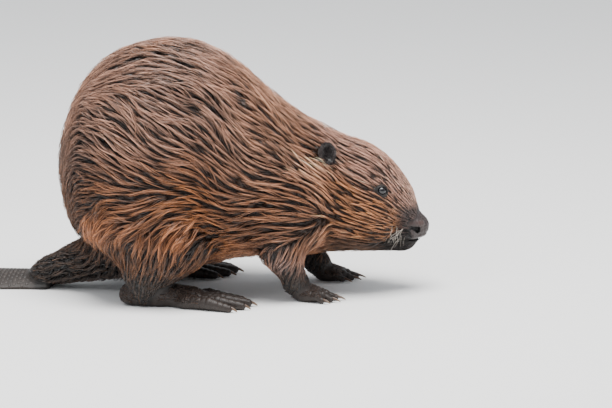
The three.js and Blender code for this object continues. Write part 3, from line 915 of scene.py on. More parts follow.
def fur_colour(p):
    x, _, z = p.T
    # The back, shoulders and head are lighter and pinker than the lower flank: partly the coat's own colour,
    # partly painted sheen on the wet top.
    low = smoothstep(205, 130, z) * (0.6 + 0.4 * smoothstep(20, -40, x))
    colour = mixed(BACK, SHOULDER, smoothstep(-20, 40, x))
    colour = mixed(colour, FLANK, np.clip(low + 0.25 * waves(p, 70, 3), 0, 1))
    rump = smoothstep(-135, -210, x) * smoothstep(275, 185, z)
    colour = mixed(colour, RUMP, 0.8 * rump)
    hem = smoothstep(116, 84, z) * smoothstep(0, -50, x)
    colour = mixed(colour, UNDERSIDE, 0.6 * hem)
    face = smoothstep(95, 135, x)
    colour = mixed(colour, CROWN, face)
    under_eye = smoothstep(8, -22, z - np.interp(x, [100, 183, 215], [176, 140, 116]))
    colour = mixed(colour, CHEEK, np.clip(face * under_eye + 0.2 * face * waves(p, 40, 4), 0, 1))
    # A painted highlight on the wet fur behind and below the ear: a bright spot of pale orange.
    colour = mixed(colour, EAR_HIGHLIGHT, np.clip(1.25 * spot(x, z, (111, 164), (20, 13)), 0, 1))
    snout = smoothstep(200, 216, x + 0.45 * np.minimum(104 - z, 0) - 0.3 * np.minimum(z - 84, 0))
    colour = mixed(colour, MUZZLE, snout * smoothstep(122, 106, z))
    # Painted shadow under the head: the jaw and chin turn darker towards the bottom.
    jaw = smoothstep(90, 70, z) * smoothstep(98, 140, x)
    colour = mixed(colour, UNDERSIDE, 0.85 * jaw)
    lip = smoothstep(90, 76, z + 0.35 * np.maximum(215 - x, 0)) * smoothstep(176, 200, x)
    colour = mixed(colour, LIP, 0.92 * lip)
    below = smoothstep(66, 40, z) * smoothstep(120, 100, x)
    colour = mixed(colour, UNDERSIDE, below)
    # A painted sheen at the elbow, where the wet fur lies flat: a lighter pinkish-grey patch.
    return mixed(colour, ELBOW_SHEEN, np.clip(0.8 * spot(x, z, (56, 62), (26, 16)), 0, 1))


def on_nose(p):
    return smoothstep(-1.5, 1.5, past_nose_line(p)) * (mouth_height(p) > 0)


def on_foot(part, p):
    return smoothstep(3.0, 1.0, part(np.asarray(p, np.float32))) * smoothstep(27, 20, p[:, 2])


def on_paddle(p):
    return smoothstep(-4, 2, (p - PADDLE_START) @ TAIL_HEADING)


def bareness(p):
    """1 on bare skin, 0 where there is fur."""
    bare = on_nose(p)
    for part in feet.values():
        bare = np.maximum(bare, on_foot(part, p))
    return np.maximum(bare, on_paddle(p))


def skin_colour(p):
    single = np.asarray(p, np.float32)
    # The skin under the coat is near black: partly the underfur's own dark colour, partly painted shade in
    # the gaps between the locks.
    colour = mixed(fur_colour(p), UNDERFUR_AND_GAP_SHADE, np.full(len(p), 0.95))
    colour = mixed(colour, NOSE_LEATHER, on_nose(p))
    # The raised rim over each nostril is lighter and pinker: partly its own colour, partly a painted
    # highlight on the top of the wet nose.
    rim = bell(nostril_rims(single), 1.2) * smoothstep(-8, -2, past_nose_line(p)) * (mouth_height(p) > 0)
    colour = mixed(colour, NOSTRIL_RIM_AND_HIGHLIGHT, 0.4 * rim)
    # Painted shade: the inside of each nostril opening is near black.
    colour = mixed(colour, NOSTRIL_SHADE, smoothstep(1.3, 0.2, nostrils(single)))
    for part in feet.values():
        colour = mixed(colour, PAW_SKIN, on_foot(part, p))
    for part in ears.values():
        colour = mixed(colour, EAR_SKIN, smoothstep(2.5, 0.5, part(single)))
    colour = mixed(colour, TAIL_SKIN, on_paddle(p))
    for s in SIDES:
        look, front, up = eye_place(p, s)
        ring = np.hypot(front / OPENING[0], up / OPENING[1])
        colour = mixed(colour, LID_BLACK, smoothstep(1.9, 1.4, ring) * (look > 0))
    return colour


# ---- Lie of the coat ----
# Seen from the side: a place (x, z), and how steeply the hair there climbs towards the tail, in degrees.
LIE = [
    # Head
    (214, 139, 58), (190, 176, 47), (155, 200, 35), (119, 214, 25), (166, 166, 31), (145, 150, 21),
    (112, 168, 34), (185, 112, 24), (167, 124, 19), (143, 108, 17), (165, 85, 8), (131, 82, 6),
    (119, 124, 36), (104, 145, 46),
    # Neck and shoulder
    (84, 203, 26), (72, 230, 33), (60, 170, 18), (36, 195, 30), (60, 132, 12), (50, 102, 5),
    (92, 104, 10), (90, 72, -25), (40, 60, 0),
    # Back and flank
    (20, 252, 36), (-9, 282, 38), (-67, 316, 24), (-67, 274, 35), (-125, 314, 6), (-139, 288, 12),
    (-38, 228, 42), (5, 200, 36), (-96, 235, 46), (-125, 262, 44), (-183, 240, 24), (-38, 178, 30),
    (-96, 187, 28), (-154, 200, 26), (-208, 200, 12), (-154, 150, 10), (-67, 150, 14), (-9, 142, 14),
    # Lower flank and rump
    (-38, 112, 8), (20, 96, 6), (-78, 118, -6), (-100, 100, -45), (-68, 84, -50), (-130, 112, -22),
    (-154, 100, -32), (-197, 118, -14), (-228, 160, -8), (5, 70, 0), (-110, 70, -40), (-180, 60, -60),
]
LIE_REACH = 20.0
HEAD_FLOW = (190.0, 216.0)  # in front of the second, hair runs straight back from the nose


def lie_of_coat(p, normal):
    """The way the hair lies at a place on the skin, from root to tip."""
    x, y, z = p.T
    total = np.zeros((len(p), 2))
    for guide_x, guide_z, climb in LIE:
        weight = np.exp(-((x - guide_x) ** 2 + (z - guide_z) ** 2) / (2 * LIE_REACH**2)) + 1e-9
        total += weight[:, None] * (-math.cos(math.radians(climb)), math.sin(math.radians(climb)))
    total /= np.linalg.norm(total, axis=1, keepdims=True)
    way = np.stack([total[:, 0], 0.05 * np.sign(y), total[:, 1]], 1)
    end_on = smoothstep(0.35, 0.9, np.abs(normal[:, 0])) * ((x > 40) & (x < 110) & (z < 110))
    end_on = np.maximum(end_on, smoothstep(0.72, 0.97, -normal[:, 0]) * (x < -150))
    way += np.array([0, 0, -0.9]) * end_on[:, None]
    from_nose = unit(p - NOSE_TIP)
    from_nose[:, 2] -= 0.5 * smoothstep(86, 72, z)
    way = mixed(way, from_nose, smoothstep(*HEAD_FLOW, x))
    single = np.asarray(p, np.float32)
    on_leg = smoothstep(0, 14, torso(single)) * smoothstep(95, 70, z)
    way = mixed(way, np.array([-0.35, 0, -1.0]), on_leg)
    on_tail = smoothstep(0, 16, torso(single)) * (x < -170)
    way = mixed(way, TAIL_HEADING + (0, 0, -0.25), on_tail)
    return laid(way, normal)


def laid(way, normal):
    """way pressed flat against the skin."""
    return unit(way - normal * np.einsum("ij,ij->i", way, normal)[:, None])


def lie_on_ear(p, normal):
    s = np.where(p[:, 1] > 0, 1, -1)
    one = np.ones(len(p))
    foot_of_ear = np.stack([(EAR["x"] + 3) * one, s * (EAR["y"] - 10), (EAR["z"] - 20) * one], 1)
    return laid(p - foot_of_ear + (-6, 0, 4), normal)


def lie_of_tufts(p, normal):
    """The wet tufts that hang off the knee and the lower flank, splayed about straight down and back."""
    knee = smoothstep(-118, -96, p[:, 0])
    climb = np.radians(-62 + 24 * knee)
    return laid(np.stack([-np.cos(climb), 0 * climb, np.sin(climb)], 1), normal)


def lie_on_foot(p, normal):
    return laid(np.array([[1.0, 0, -0.25]]).repeat(len(p), 0), normal)


def turned(way, normal, angle):
    """way turned about the normal by an angle."""
    return way * np.cos(angle)[:, None] + np.cross(normal, way) * np.sin(angle)[:, None]


# ---- The coat ----
# Each layer's measures in mm, at six places from the shoulders to the nose:
# - "spread" is half a lock's width at its root, as a share of the spacing;
# - "clump" is how fully its hairs meet at its tip, and "stray" how many degrees it goes its own way;
# - "lift" is the least and the most that a lock rises, as a share of the coat's depth;
# - "rings" are the steps along a hair that have a ring of vertices, for long, middling and short hairs;
# - the last key is the tint at each ring's step, and at the tip: dark near the root as painted shade between
#   the locks, and bright near the tip, partly as painted highlight.
ALONG = (60, 120, 160, 190, 212, 226)
LONG_HAIR_RINGS = ((0, 1, 2, 3), (0, 2, 3), (0, 2))
SHORT_HAIR_RINGS = ((0, 2),) * 3


def everywhere(value):
    return (value,) * len(ALONG)


GUARD_HAIR = {
    "spacing": (7.2, 4.5, 4.2, 3.6, 2.7, 2.1),
    "length": (46, 40, 34, 24, 12, 6),
    "width": (0.82, 0.68, 0.6, 0.54, 0.48, 0.42),
    "count": (9, 10, 10, 10, 8, 6),
    "spread": 0.43,
    "clump": 0.9,
    "stray": 6,
    "lift": (0.75, 1.0),
    "rings": LONG_HAIR_RINGS,
    "shade": (0.03, 0.11, 0.7, 1.3, 1.95),
}
LOOSE_HAIR = {
    "spacing": (12.5, 12, 12, 9, 6, 5),
    "length": (48, 40, 32, 22, 11, 6),
    "width": (0.8, 0.7, 0.62, 0.55, 0.45, 0.4),
    "count": (4, 4, 4, 3, 3, 3),
    "spread": 0.2,
    "clump": 0.7,
    "stray": 9,
    "lift": (0.85, 1.12),
    "rings": LONG_HAIR_RINGS,
    "shade": (0.08, 0.4, 1.2, 1.6, 2.0),
}
UNDER_HAIR = {
    "spacing": (9.5, 6.5, 5.4, 4.6, 3.6, 3.0),
    "length": (28, 20, 15, 11, 7, 4),
    "width": (2.0, 1.5, 1.2, 0.95, 0.7, 0.55),
    "count": (5, 4, 4, 3, 3, 3),
    "spread": 0.6,
    "clump": 0.5,
    "stray": 9,
    "lift": (0.3, 0.5),
    "rings": SHORT_HAIR_RINGS,
    "shade": (0.025, 0.045, 0.09, 0.14, 0.2),
}
TUFT_HAIR = {
    "spacing": everywhere(11.5),
    "length": everywhere(44),
    "width": everywhere(0.9),
    "count": everywhere(12),
    "spread": 0.45,
    "clump": 0.92,
    "stray": 11,
    "lift": (1.3, 2.3),
    "rings": LONG_HAIR_RINGS,
    "shade": (0.06, 0.3, 0.8, 1.15, 1.5),
}
EAR_HAIR = {
    "spacing": everywhere(1.9),
    "length": everywhere(8.5),
    "width": everywhere(0.5),
    "count": everywhere(3),
    "spread": 0.5,
    "clump": 0.8,
    "stray": 12,
    "lift": (0.6, 1.4),
    "rings": SHORT_HAIR_RINGS,
    "shade": (0.3, 0.5, 0.8, 1.0, 1.2),
}
FOOT_HAIR = {
    **EAR_HAIR,
    "spacing": everywhere(3.2),
    "length": everywhere(10),
    "width": everywhere(0.7),
    "lift": (0.4, 1.0),
    "stray": 8,
}
SHORT_COAT_DEPTH = 1.3  # over the ears and feet


def lock_sizes(layer, p):
    """For locks rooted at these places: spacing, length, width of a hair, and number of hairs."""
    x, y, z = p.T
    keys = "spacing", "length", "width", "count"
    spacing, length, width, count = [np.interp(x, ALONG, layer[key]) for key in keys]
    low = smoothstep(105, 40, z) * (x < 110)
    length = length * (1 - 0.66 * low)
    rump = smoothstep(-150, -190, x) * smoothstep(60, 90, z)
    length = length * (1 - 0.35 * rump)
    spacing = spacing * (1 - 0.2 * rump)
    spacing = spacing * (1 - 0.25 * low)
    underneath = smoothstep(64, 46, z) * smoothstep(80, 60, np.abs(y)) * smoothstep(130, 100, x)
    spacing = spacing * (1 + 0.7 * underneath)
    width = width * (1 + 0.6 * underneath)
    return spacing, length, width, count


ROOTS_TO_A_CELL = 7  # drawn, before they are thinned


def scattered_roots(points, faces, layer):
    """Places on the skin, spread as the layer's spacing asks."""
    triangles = np.concatenate([faces[:, :3], faces[faces[:, 3] >= 0][:, [0, 2, 3]]])
    a, b, c = (points[triangles[:, i]].astype(float) for i in range(3))
    area = np.linalg.norm(np.cross(b - a, c - a), axis=1) / 2
    chance = area / lock_sizes(layer, (a + b + c) / 3)[0] ** 2 * ROOTS_TO_A_CELL
    which = np.repeat(np.arange(len(triangles)), rng.poisson(chance))
    u, v = rng.random((2, len(which)))
    flip = u + v > 1
    u[flip], v[flip] = 1 - u[flip], 1 - v[flip]
    roots = a[which] + u[:, None] * (b - a)[which] + v[:, None] * (c - a)[which]
    return thinned(roots[rng.permutation(len(roots))], layer)


SPACING_STEP = 1.12  # from one size of cell to the next
CELL_OFFSET = 1000  # mm, which makes all places positive


def thinned(roots, layer):
    """One root in each cell of the spacing's size."""
    spacing = lock_sizes(layer, roots)[0]
    kept = np.zeros(len(roots), bool)
    bins = np.round(np.log(spacing) / math.log(SPACING_STEP))
    for step in np.unique(bins):
        here = np.flatnonzero(bins == step)
        cells = np.floor((roots[here] + CELL_OFFSET) / SPACING_STEP**step).astype(np.int64)
        _, first = np.unique(cell_keys(cells), return_index=True)
        kept[here[first]] = True
    return roots[kept]


def eye_ring(p):
    """1 on the rim of the eye opening, less inside it, and large away from the eyes."""
    nearest = np.full(len(p), 99.0)
    for s in SIDES:
        look, front, up = eye_place(p, s)
        ring = np.hypot(front / OPENING[0], up / OPENING[1])
        nearest = np.where((look > 0) & (look < 25), np.minimum(nearest, ring), nearest)
    return nearest


BARE_RING = 1.3  # of the eye opening's rim, inside which no hair is rooted
BARE_BY_EAR = 0.8  # mm, as are the next two
BARE_BY_MOUTH = 1.2
BARE_BY_FLOOR = 1.5


def has_coat(p):
    single = np.asarray(p, np.float32)
    open_skin = (bareness(p) < 0.5) & (eye_ring(p) > BARE_RING)
    for part in ears.values():
        open_skin &= part(single) > BARE_BY_EAR
    inside_mouth = (np.abs(mouth_height(p)) < BARE_BY_MOUTH) & (p[:, 0] > MOUTH_CORNER_X)
    return open_skin & ~inside_mouth & (p[:, 2] > BARE_BY_FLOOR)


LOCK_STEPS = np.array([0.0, 0.14, 0.4, 0.7, 1.0])
LIFT = np.array([-0.12, 0.38, 0.85, 1.0, 0.9])  # of the coat's depth, at each step of a lock
TAPER = np.array([0.8, 1.0, 0.95, 0.7, 0])


def skin_base(p):
    """The skin without its small details, which the coat is laid over."""
    return furred(p)[1]


def waviness(p, stray):
    """The angle by which the lie wavers at a place, less on the head."""
    calm = np.interp(p[:, 0], (60, 120), (1, 0.45))
    return math.radians(stray) * calm * (1.6 * waves(p, 60, 11) + 0.8 * waves(p, 24, 12))


def pressed(shape, p):
    """Points moved onto a surface, with its normals there."""
    steep = slope(shape, p)
    normal = unit(steep)
    size = np.maximum(np.linalg.norm(steep, axis=1), 0.5)
    return p - normal * (evaluate(shape, p) / size)[:, None], normal


def lock_lines(roots, length, stray, shape, lie):
    """Each lock's middle line from its root: places on the surface, with the normal and the lie there."""
    p = roots.astype(np.float32)
    rows = []
    own_turn = rng.normal(0, math.radians(stray), len(p))
    own_bend = rng.normal(0, math.radians(stray), len(p))
    for step, share in enumerate(LOCK_STEPS):
        p, normal = pressed(shape, p)
        way = turned(lie(p, normal), normal, own_turn + own_bend * (2 * share - 1) + waviness(p, stray))
        rows.append((p, normal, way))
        if step + 1 < len(LOCK_STEPS):
            p = (p + way * (length * (LOCK_STEPS[step + 1] - share))[:, None]).astype(np.float32)
    return [np.stack(column, 1).astype(float) for column in zip(*rows)]


LINE_STEPS = 16  # traced each way from a line's seed
LINE_STEP = 0.62  # of the spacing
LEAST_GAP = 0.62  # of the spacing, between two lines where one of them ends
SEED_GAP = 0.9  # of the spacing, that a seed keeps from other lines
LEAST_STEPS = 3  # in a line that is kept
LOCK_PITCH = 0.4  # of a lock's length, from one lock to the next along a line


def traced_lines(seeds, step, stray):
    """Long lines both ways along the lie of the coat through each seed, in order from root to tip."""
    halves = []
    for heading in (-1, 1):
        p = seeds.astype(np.float32)
        rows = []
        for _ in range(LINE_STEPS + 1):
            p, normal = pressed(skin_base, p)
            way = turned(lie_of_coat(p, normal), normal, waviness(p, stray))
            rows.append((p, normal, way))
            p = (p + heading * way * step[:, None]).astype(np.float32)
        halves.append(rows)
    rows = halves[0][:0:-1] + halves[1]
    return [np.stack(column, 1).astype(float) for column in zip(*rows)]


def spaced_stretches(places, spacing, usable):
    """The stretches of lines, as (line, first, last), that keep their distance from the ones before them."""
    taken = np.full((len(places) * 12, 3), 1e6)
    count = 0
    stretches = []
    for i in rng.permutation(len(places)):
        seed = LINE_STEPS
        near = taken[:count]

        def clear(k, gap):
            if not usable[i, k]:
                return False
            return not count or np.square(near - places[i, k]).sum(1).min() > (gap * spacing[i, k]) ** 2

        if not clear(seed, SEED_GAP):
            continue
        first = last = seed
        while first > 0 and clear(first - 1, LEAST_GAP):
            first -= 1
        while last < 2 * LINE_STEPS and clear(last + 1, LEAST_GAP):
            last += 1
        if last - first < LEAST_STEPS:
            continue
        fresh = places[i, first : last + 1]
        if count + len(fresh) > len(taken):
            break
        taken[count : count + len(fresh)] = fresh
        count += len(fresh)
        stretches.append((i, first, last))
    return stretches


def locks_along_lines(layer, seeds):
    """Locks laid one after another along evenly spaced lines, for ridges with gaps between them."""
    step = lock_sizes(layer, seeds)[0] * LINE_STEP
    lines = traced_lines(seeds, step, layer["stray"])
    flat = lines[0].reshape(-1, 3)
    spacing = lock_sizes(layer, flat)[0].reshape(lines[0].shape[:2])
    usable = has_coat(flat).reshape(lines[0].shape[:2])
    locks = []
    for i, first, last in spaced_stretches(lines[0], spacing, usable):
        whole = (last - first) * step[i]
        start = rng.uniform(0, 0.2) * step[i]
        while start < whole:
            place = lines[0][i, first + int(start / step[i])][None]
            length = lock_sizes(layer, place)[1][0] * rng.uniform(0.75, 1.2)
            reach = min(1.0, (whole - start) / length)
            if reach > 0.3:
                locks.append((i, first + start / step[i], length / step[i], reach))
            start += length * LOCK_PITCH * rng.uniform(0.8, 1.2)
    which, start, span, reach = (np.array(column) for column in zip(*locks))
    at = np.minimum(start[:, None] + span[:, None] * LOCK_STEPS, 2 * LINE_STEPS - 1e-6)
    low = at.astype(int)
    share = (at - low)[..., None]
    rows = which.astype(int)[:, None]
    line, normal, way = (part[rows, low] * (1 - share) + part[rows, low + 1] * share for part in lines)
    aside = rng.normal(0, 0.1, len(which)) * lock_sizes(layer, line[:, 0])[0]
    line += np.cross(normal, way) * aside[:, None, None]
    return line, unit(normal), unit(way), reach


EYE_CLEARANCE = 1.12  # of the eye opening's rim
EAR_CLEARANCE = 0.5
EAR_FOOT = EAR["z"] - 9  # below which hair may run up against the ear


def clear_reach(line):
    """The share of each lock that keeps off the eyes and ears."""
    shares = np.linspace(0, 1, 15)
    reach = np.ones(len(line))
    for share in shares[::-1]:
        at = min(np.searchsorted(LOCK_STEPS, share, side="right") - 1, len(LOCK_STEPS) - 2)
        t = (share - LOCK_STEPS[at]) / (LOCK_STEPS[at + 1] - LOCK_STEPS[at])
        p = line[:, at] * (1 - t) + line[:, at + 1] * t
        hit = eye_ring(p) < EYE_CLEARANCE
        for part in ears.values():
            hit |= (part(p.astype(np.float32)) < EAR_CLEARANCE) & (p[:, 2] > EAR_FOOT)
        reach = np.where(hit, share * 0.95, reach)
    return reach


def standing_out(root):
    """How much further than the coat's depth locks stand out, as wet tufts do on the lower flank."""
    x, _, z = root.T
    knee = spot(x, z, (-80, 100), (24, 16))
    along_flank = smoothstep(-205, -180, x) * smoothstep(-95, -120, x)
    fringe = along_flank * smoothstep(85, 100, z) * smoothstep(128, 112, z)
    before_ear = spot(x, z, (122, 172), (9, 9))
    return 0.3 * knee + 0.2 * fringe + 0.9 * before_ear


def scattered_locks(layer, roots, shape=skin_base, lie=lie_of_coat):
    """Locks that each go their own way from their root."""
    length = lock_sizes(layer, roots)[1] * rng.uniform(0.7, 1.2, len(roots))
    line, normal, way = lock_lines(roots, length, layer["stray"], shape, lie)
    return line, normal, way, np.ones(len(roots))


SHORTEST_REACH = 0.12  # of a lock's length, below which it is left out
LESS_GATHERED = (0.14, 0.45)  # share of hairs, and how much of the clump they take part in
CROWN_FALL = 0.42  # share of its height that a lock loses from its middle to its sides


def hairs_of_locks(layer, locks, short_coat=False):
    """Every hair's points from root to tip, with its width, its lock and the frame it lies in."""
    line, normal, way, lock_reach = locks
    roots = line[:, 0]
    spacing, _, width, count = lock_sizes(layer, roots)
    if short_coat:
        depth = np.full(line.shape[:2], SHORT_COAT_DEPTH)
    else:
        depth = coat_depth(line.reshape(-1, 3)).reshape(line.shape[:2])
        depth = depth * (1 + standing_out(roots))[:, None]
        lock_reach = np.minimum(lock_reach, clear_reach(line))
    lift = rng.uniform(*layer["lift"], len(roots))
    hairs = np.maximum(2, np.round(count * rng.uniform(0.7, 1.3, len(roots)))).astype(int)
    lock = np.repeat(np.arange(len(roots)), hairs)
    n = len(lock)
    across = rng.uniform(-1, 1, n)
    clump = layer["clump"] * np.where(rng.random(n) < LESS_GATHERED[0], LESS_GATHERED[1], 1.0)
    gather = 1 - clump[:, None] * smoothstep(-0.2, 1.0, LOCK_STEPS)
    offset = (spacing * layer["spread"])[lock][:, None] * (across[:, None] * gather)
    offset += (rng.normal(0, 0.05, n) * spacing[lock])[:, None] * LOCK_STEPS
    side = np.cross(normal, way)
    points = line[lock] + side[lock] * offset[..., None]
    ahead = rng.uniform(-0.8, 0.8, n) * spacing[lock]
    points += way[lock] * (ahead[:, None] * (1 - 0.7 * LOCK_STEPS))[..., None]
    points = shortened(points, np.minimum(rng.uniform(0.7, 1.0, n), lock_reach[lock]))
    crown = 1 - CROWN_FALL * across**2
    height = depth[lock] * LIFT * (lift[lock] * crown * rng.uniform(0.85, 1.08, n))[:, None]
    points += normal[lock] * height[..., None]
    wide = width[lock] * rng.uniform(0.7, 1.25, n)
    keep = lock_reach[lock] >= SHORTEST_REACH
    return {
        "points": points[keep],
        "wide": wide[keep],
        "lock": lock[keep],
        "normal": normal[lock][keep],
        "side": side[lock][keep],
        "root": roots[lock][keep],
        "across": across[keep],
    }


def shortened(points, reach):
    """Each hair cut to a share of its length, with its points spread along what is left."""
    shares = LOCK_STEPS * reach[:, None]
    at = np.searchsorted(LOCK_STEPS, shares.ravel(), side="right") - 1
    at = np.clip(at, 0, len(LOCK_STEPS) - 2).reshape(shares.shape)
    low, high = LOCK_STEPS[at], LOCK_STEPS[at + 1]
    t = ((shares - low) / (high - low))[..., None]
    rows = np.arange(len(points))[:, None]
    return points[rows, at] * (1 - t) + points[rows, at + 1] * t


LEAST_DEPTH = 0.7


def coat_depth(p):
    tips, base = furred(np.asarray(p, np.float32))
    return np.maximum(base - tips, LEAST_DEPTH)


FLOOR_SQUEEZE = 0.3  # what lies lower than 1 mm is flattened to this share, so that no hair passes the floor


RING_CORNERS = ((0.5, 0.75), (1.22, 1.0), (1.78, 1.0))  # half turns round a hair, and share of half its width


def hair_mesh(hair, rings):
    """Solid hairs: a ring of three vertices at each of these steps, and a point at the tip."""
    points, normal, side = hair["points"], hair["normal"], hair["side"]
    n = len(points)
    rings = list(rings)
    roll = rng.uniform(-0.6, 0.6, n)
    half = (hair["wide"][:, None] * TAPER[rings] / 2)[..., None]
    corners = []
    for half_turns, share in RING_CORNERS:
        aside = np.cos(half_turns * math.pi + roll)[:, None, None]
        above = np.sin(half_turns * math.pi + roll)[:, None, None]
        way = side[:, rings] * aside + 0.8 * normal[:, rings] * above
        corners.append(points[:, rings] + half * share * way)
    body = np.stack(corners, 2).reshape(n, len(rings) * 3, 3)
    vertices = np.concatenate([body, points[:, -1:]], 1)
    vertices[:, :, 2] += (1 - FLOOR_SQUEEZE) * np.maximum(1 - vertices[:, :, 2], 0)
    per = len(rings) * 3 + 1
    faces = [(2, 1, 0, -1)]
    for ring in range(len(rings) - 1):
        for i in range(3):
            a, b = ring * 3 + i, ring * 3 + (i + 1) % 3
            faces.append((a, b, b + 3, a + 3))
    last = (len(rings) - 1) * 3
    faces += [(last + i, last + (i + 1) % 3, per - 1, -1) for i in range(3)]
    faces = np.array(faces)
    all_faces = faces[None] + np.where(faces < 0, 0, 1)[None] * (np.arange(n) * per)[:, None, None]
    return vertices.reshape(-1, 3), all_faces.reshape(-1, 4)


BAKE_PATCH = 0.003  # of the map's width, that one hair covers


def unwrapped(p):
    """Places on a flat unwrap of the body, rolled off it from tail to nose, with the legs in a row below."""
    x, y, z = p.T
    along = 0.02 + 0.96 * (x - LATTICE_ORIGIN[0]) / LATTICE_SPAN[0]
    spine = np.interp(x, [-300, -220, -90, 60, 150, 240], [40, 110, 170, 150, 125, 85])
    round_body = np.arctan2(y, z - spine) / (2 * math.pi) + 0.5
    u, v = along, 0.26 + 0.72 * round_body
    single = np.asarray(p, np.float32)
    legs = [(front_leg(s), front_foot(s), 30) for s in SIDES]
    legs += [(hind_leg(s), hind_foot(s), 50) for s in SIDES]
    for index, (leg, (foot_x, foot_y), back) in enumerate(legs):
        on_leg = (leg(single) < torso(single)) & (z < 90)
        turn = np.arctan2(y - foot_y, x - (foot_x - back)) / (2 * math.pi) + 0.5
        u = np.where(on_leg, 0.02 + 0.245 * index + 0.22 * turn, u)
        v = np.where(on_leg, 0.02 + 0.2 * z / 90, v)
    return np.stack([u, v], 1)


LOCK_TONES = (0.72, 1.28)
HAIR_TONES = (0.5, 1.35)
BRIGHT_HAIRS = (0.14, 1.75)  # their share, and how much brighter they are


def hair_part(layer, hair, rings, colour_of):
    """Vertices, faces, colours and unwrap of some hairs, with the rings asked for."""
    vertices, faces = hair_mesh(hair, rings)
    n = len(hair["points"])
    draw = np.random.default_rng(7)
    tone = draw.uniform(*LOCK_TONES, hair["lock"].max() + 1)[hair["lock"]] * draw.uniform(*HAIR_TONES, n)
    bright = np.where(draw.random(n) < BRIGHT_HAIRS[0], BRIGHT_HAIRS[1], 1.0)
    # Hairs at the sides of a lock are painted darker than those along its ridge: painted shade.
    tone *= bright * (1.12 - 0.5 * hair["across"] ** 2)
    base = colour_of(hair["root"]) * tone[:, None]
    # Painted light along each hair: dark at the root, as painted shade between the locks, and bright at the
    # tip, partly as painted highlight.
    shade = np.append(np.repeat(np.array(layer["shade"])[list(rings)], 3), layer["shade"][-1])
    colours = (base[:, None, :] * shade[None, :, None]).reshape(-1, 3)
    per = len(rings) * 3 + 1
    patch = np.array([[(i % 3) / 3, (i // 3) / len(rings)] for i in range(per)])
    patch[-1] = (0.5, 1.0)
    spots = unwrapped(hair["root"])[:, None, :] + (patch[None] - 0.5) * BAKE_PATCH
    return vertices, faces, np.clip(colours, 0, 1), spots.reshape(-1, 2)


def region_names(root):
    """The coat piece that a hair belongs to, by the place of its root."""
    x, y, z = root.T
    side = np.where(y > 0, "left", "right")
    area = np.select(
        [x > 172, x > 100, x > 20, (z < 70), x > -70, z > 185],
        ["face", "head", "shoulder", "underside", "loin", "croup"],
        "rump",
    )
    return np.char.add(np.char.add(area.astype(str), "_"), side.astype(str))


def chosen(hair, mask):
    return {key: value[mask] for key, value in hair.items()}


LONG_HAIR, MIDDLING_HAIR = 27, 13  # mm
coat_parts = {}


def lay_coat(layer, hair, colour_of):
    """Cuts a layer's hairs up by region and by how many rings they need, and keeps the parts."""
    names = region_names(hair["root"])
    length = np.linalg.norm(np.diff(hair["points"], axis=1), axis=2).sum(1)
    detail = np.select([length > LONG_HAIR, length > MIDDLING_HAIR], [0, 1], 2)
    for name in np.unique(names):
        for level, rings in enumerate(layer["rings"]):
            mine = (names == name) & (detail == level)
            if mine.any():
                part = hair_part(layer, chosen(hair, mine), rings, colour_of)
                coat_parts.setdefault(str(name), []).append(part)


def add_bake_map(piece, uv):
    layer = piece.data.uv_layers.new(name="OFBake")
    loops = np.zeros(len(piece.data.loops), np.int32)
    piece.data.loops.foreach_get("vertex_index", loops)
    layer.data.foreach_set("uv", uv.astype(np.float32)[loops].ravel())


def add_coat_piece(name, parts, material):
    vertices, faces = joined([part[:2] for part in parts])
    colours, spots = (np.concatenate([part[i] for part in parts]) for i in (2, 3))
    piece = add_mesh(f"coat_{name}", vertices, faces, material, colours)
    add_bake_map(piece, spots)
    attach(piece, "root")


# ---- Materials ----
def new_material(name, roughness, specular=0.5):
    material = bpy.data.materials.new(name)
    material.use_nodes = True
    shader = material.node_tree.nodes["Principled BSDF"]
    shader.inputs["Roughness"].default_value = roughness
    shader.inputs["Specular IOR Level"].default_value = specular
    return material, material.node_tree.nodes, material.node_tree.links, shader


def tinted(nodes, links, shader, scale, low, high):
    """The Tint colours, made lighter and darker by noise of this many grains to the metre."""
    tint = nodes.new("ShaderNodeAttribute")
    tint.attribute_name = "Tint"
    place = nodes.new("ShaderNodeTexCoord")
    noise = nodes.new("ShaderNodeTexNoise")
    noise.inputs["Scale"].default_value = scale
    noise.inputs["Detail"].default_value = 4
    links.new(place.outputs["Object"], noise.inputs["Vector"])
    spread = nodes.new("ShaderNodeMapRange")
    spread.inputs["To Min"].default_value = low
    spread.inputs["To Max"].default_value = high
    links.new(noise.outputs["Fac"], spread.inputs["Value"])
    scaled = nodes.new("ShaderNodeVectorMath")
    scaled.operation = "SCALE"
    links.new(tint.outputs["Color"], scaled.inputs[0])
    links.new(spread.outputs["Result"], scaled.inputs["Scale"])
    links.new(scaled.outputs["Vector"], shader.inputs["Base Color"])
    return noise


def add_bump(nodes, links, shader, height, strength, distance):
    bump = nodes.new("ShaderNodeBump")
    bump.inputs["Strength"].default_value = strength
    bump.inputs["Distance"].default_value = distance
    links.new(height, bump.inputs["Height"])
    links.new(bump.outputs["Normal"], shader.inputs["Normal"])


def grained(name, roughness, grain, bump=None, specular=0.5):
    """A material in the Tint colours, with a grain that also raises the surface where a bump is given."""
    material, nodes, links, shader = new_material(name, roughness, specular)
    noise = tinted(nodes, links, shader, *grain)
    if bump:
        add_bump(nodes, links, shader, noise.outputs["Fac"], *bump)
    return material


def fur_material():
    return grained("wet_guard_hair", 0.34, (60, 0.8, 1.25), (0.2, 0.0005), specular=0.7)


def skin_material():
    material, nodes, links, shader = new_material("damp_skin", 0.45, 0.35)
    tinted(nodes, links, shader, 90, 0.7, 1.25)
    place = nodes.new("ShaderNodeTexCoord")
    pebbles = nodes.new("ShaderNodeTexVoronoi")
    pebbles.inputs["Scale"].default_value = 900
    links.new(place.outputs["Object"], pebbles.inputs["Vector"])
    add_bump(nodes, links, shader, pebbles.outputs["Distance"], 0.5, 0.0004)
    return material


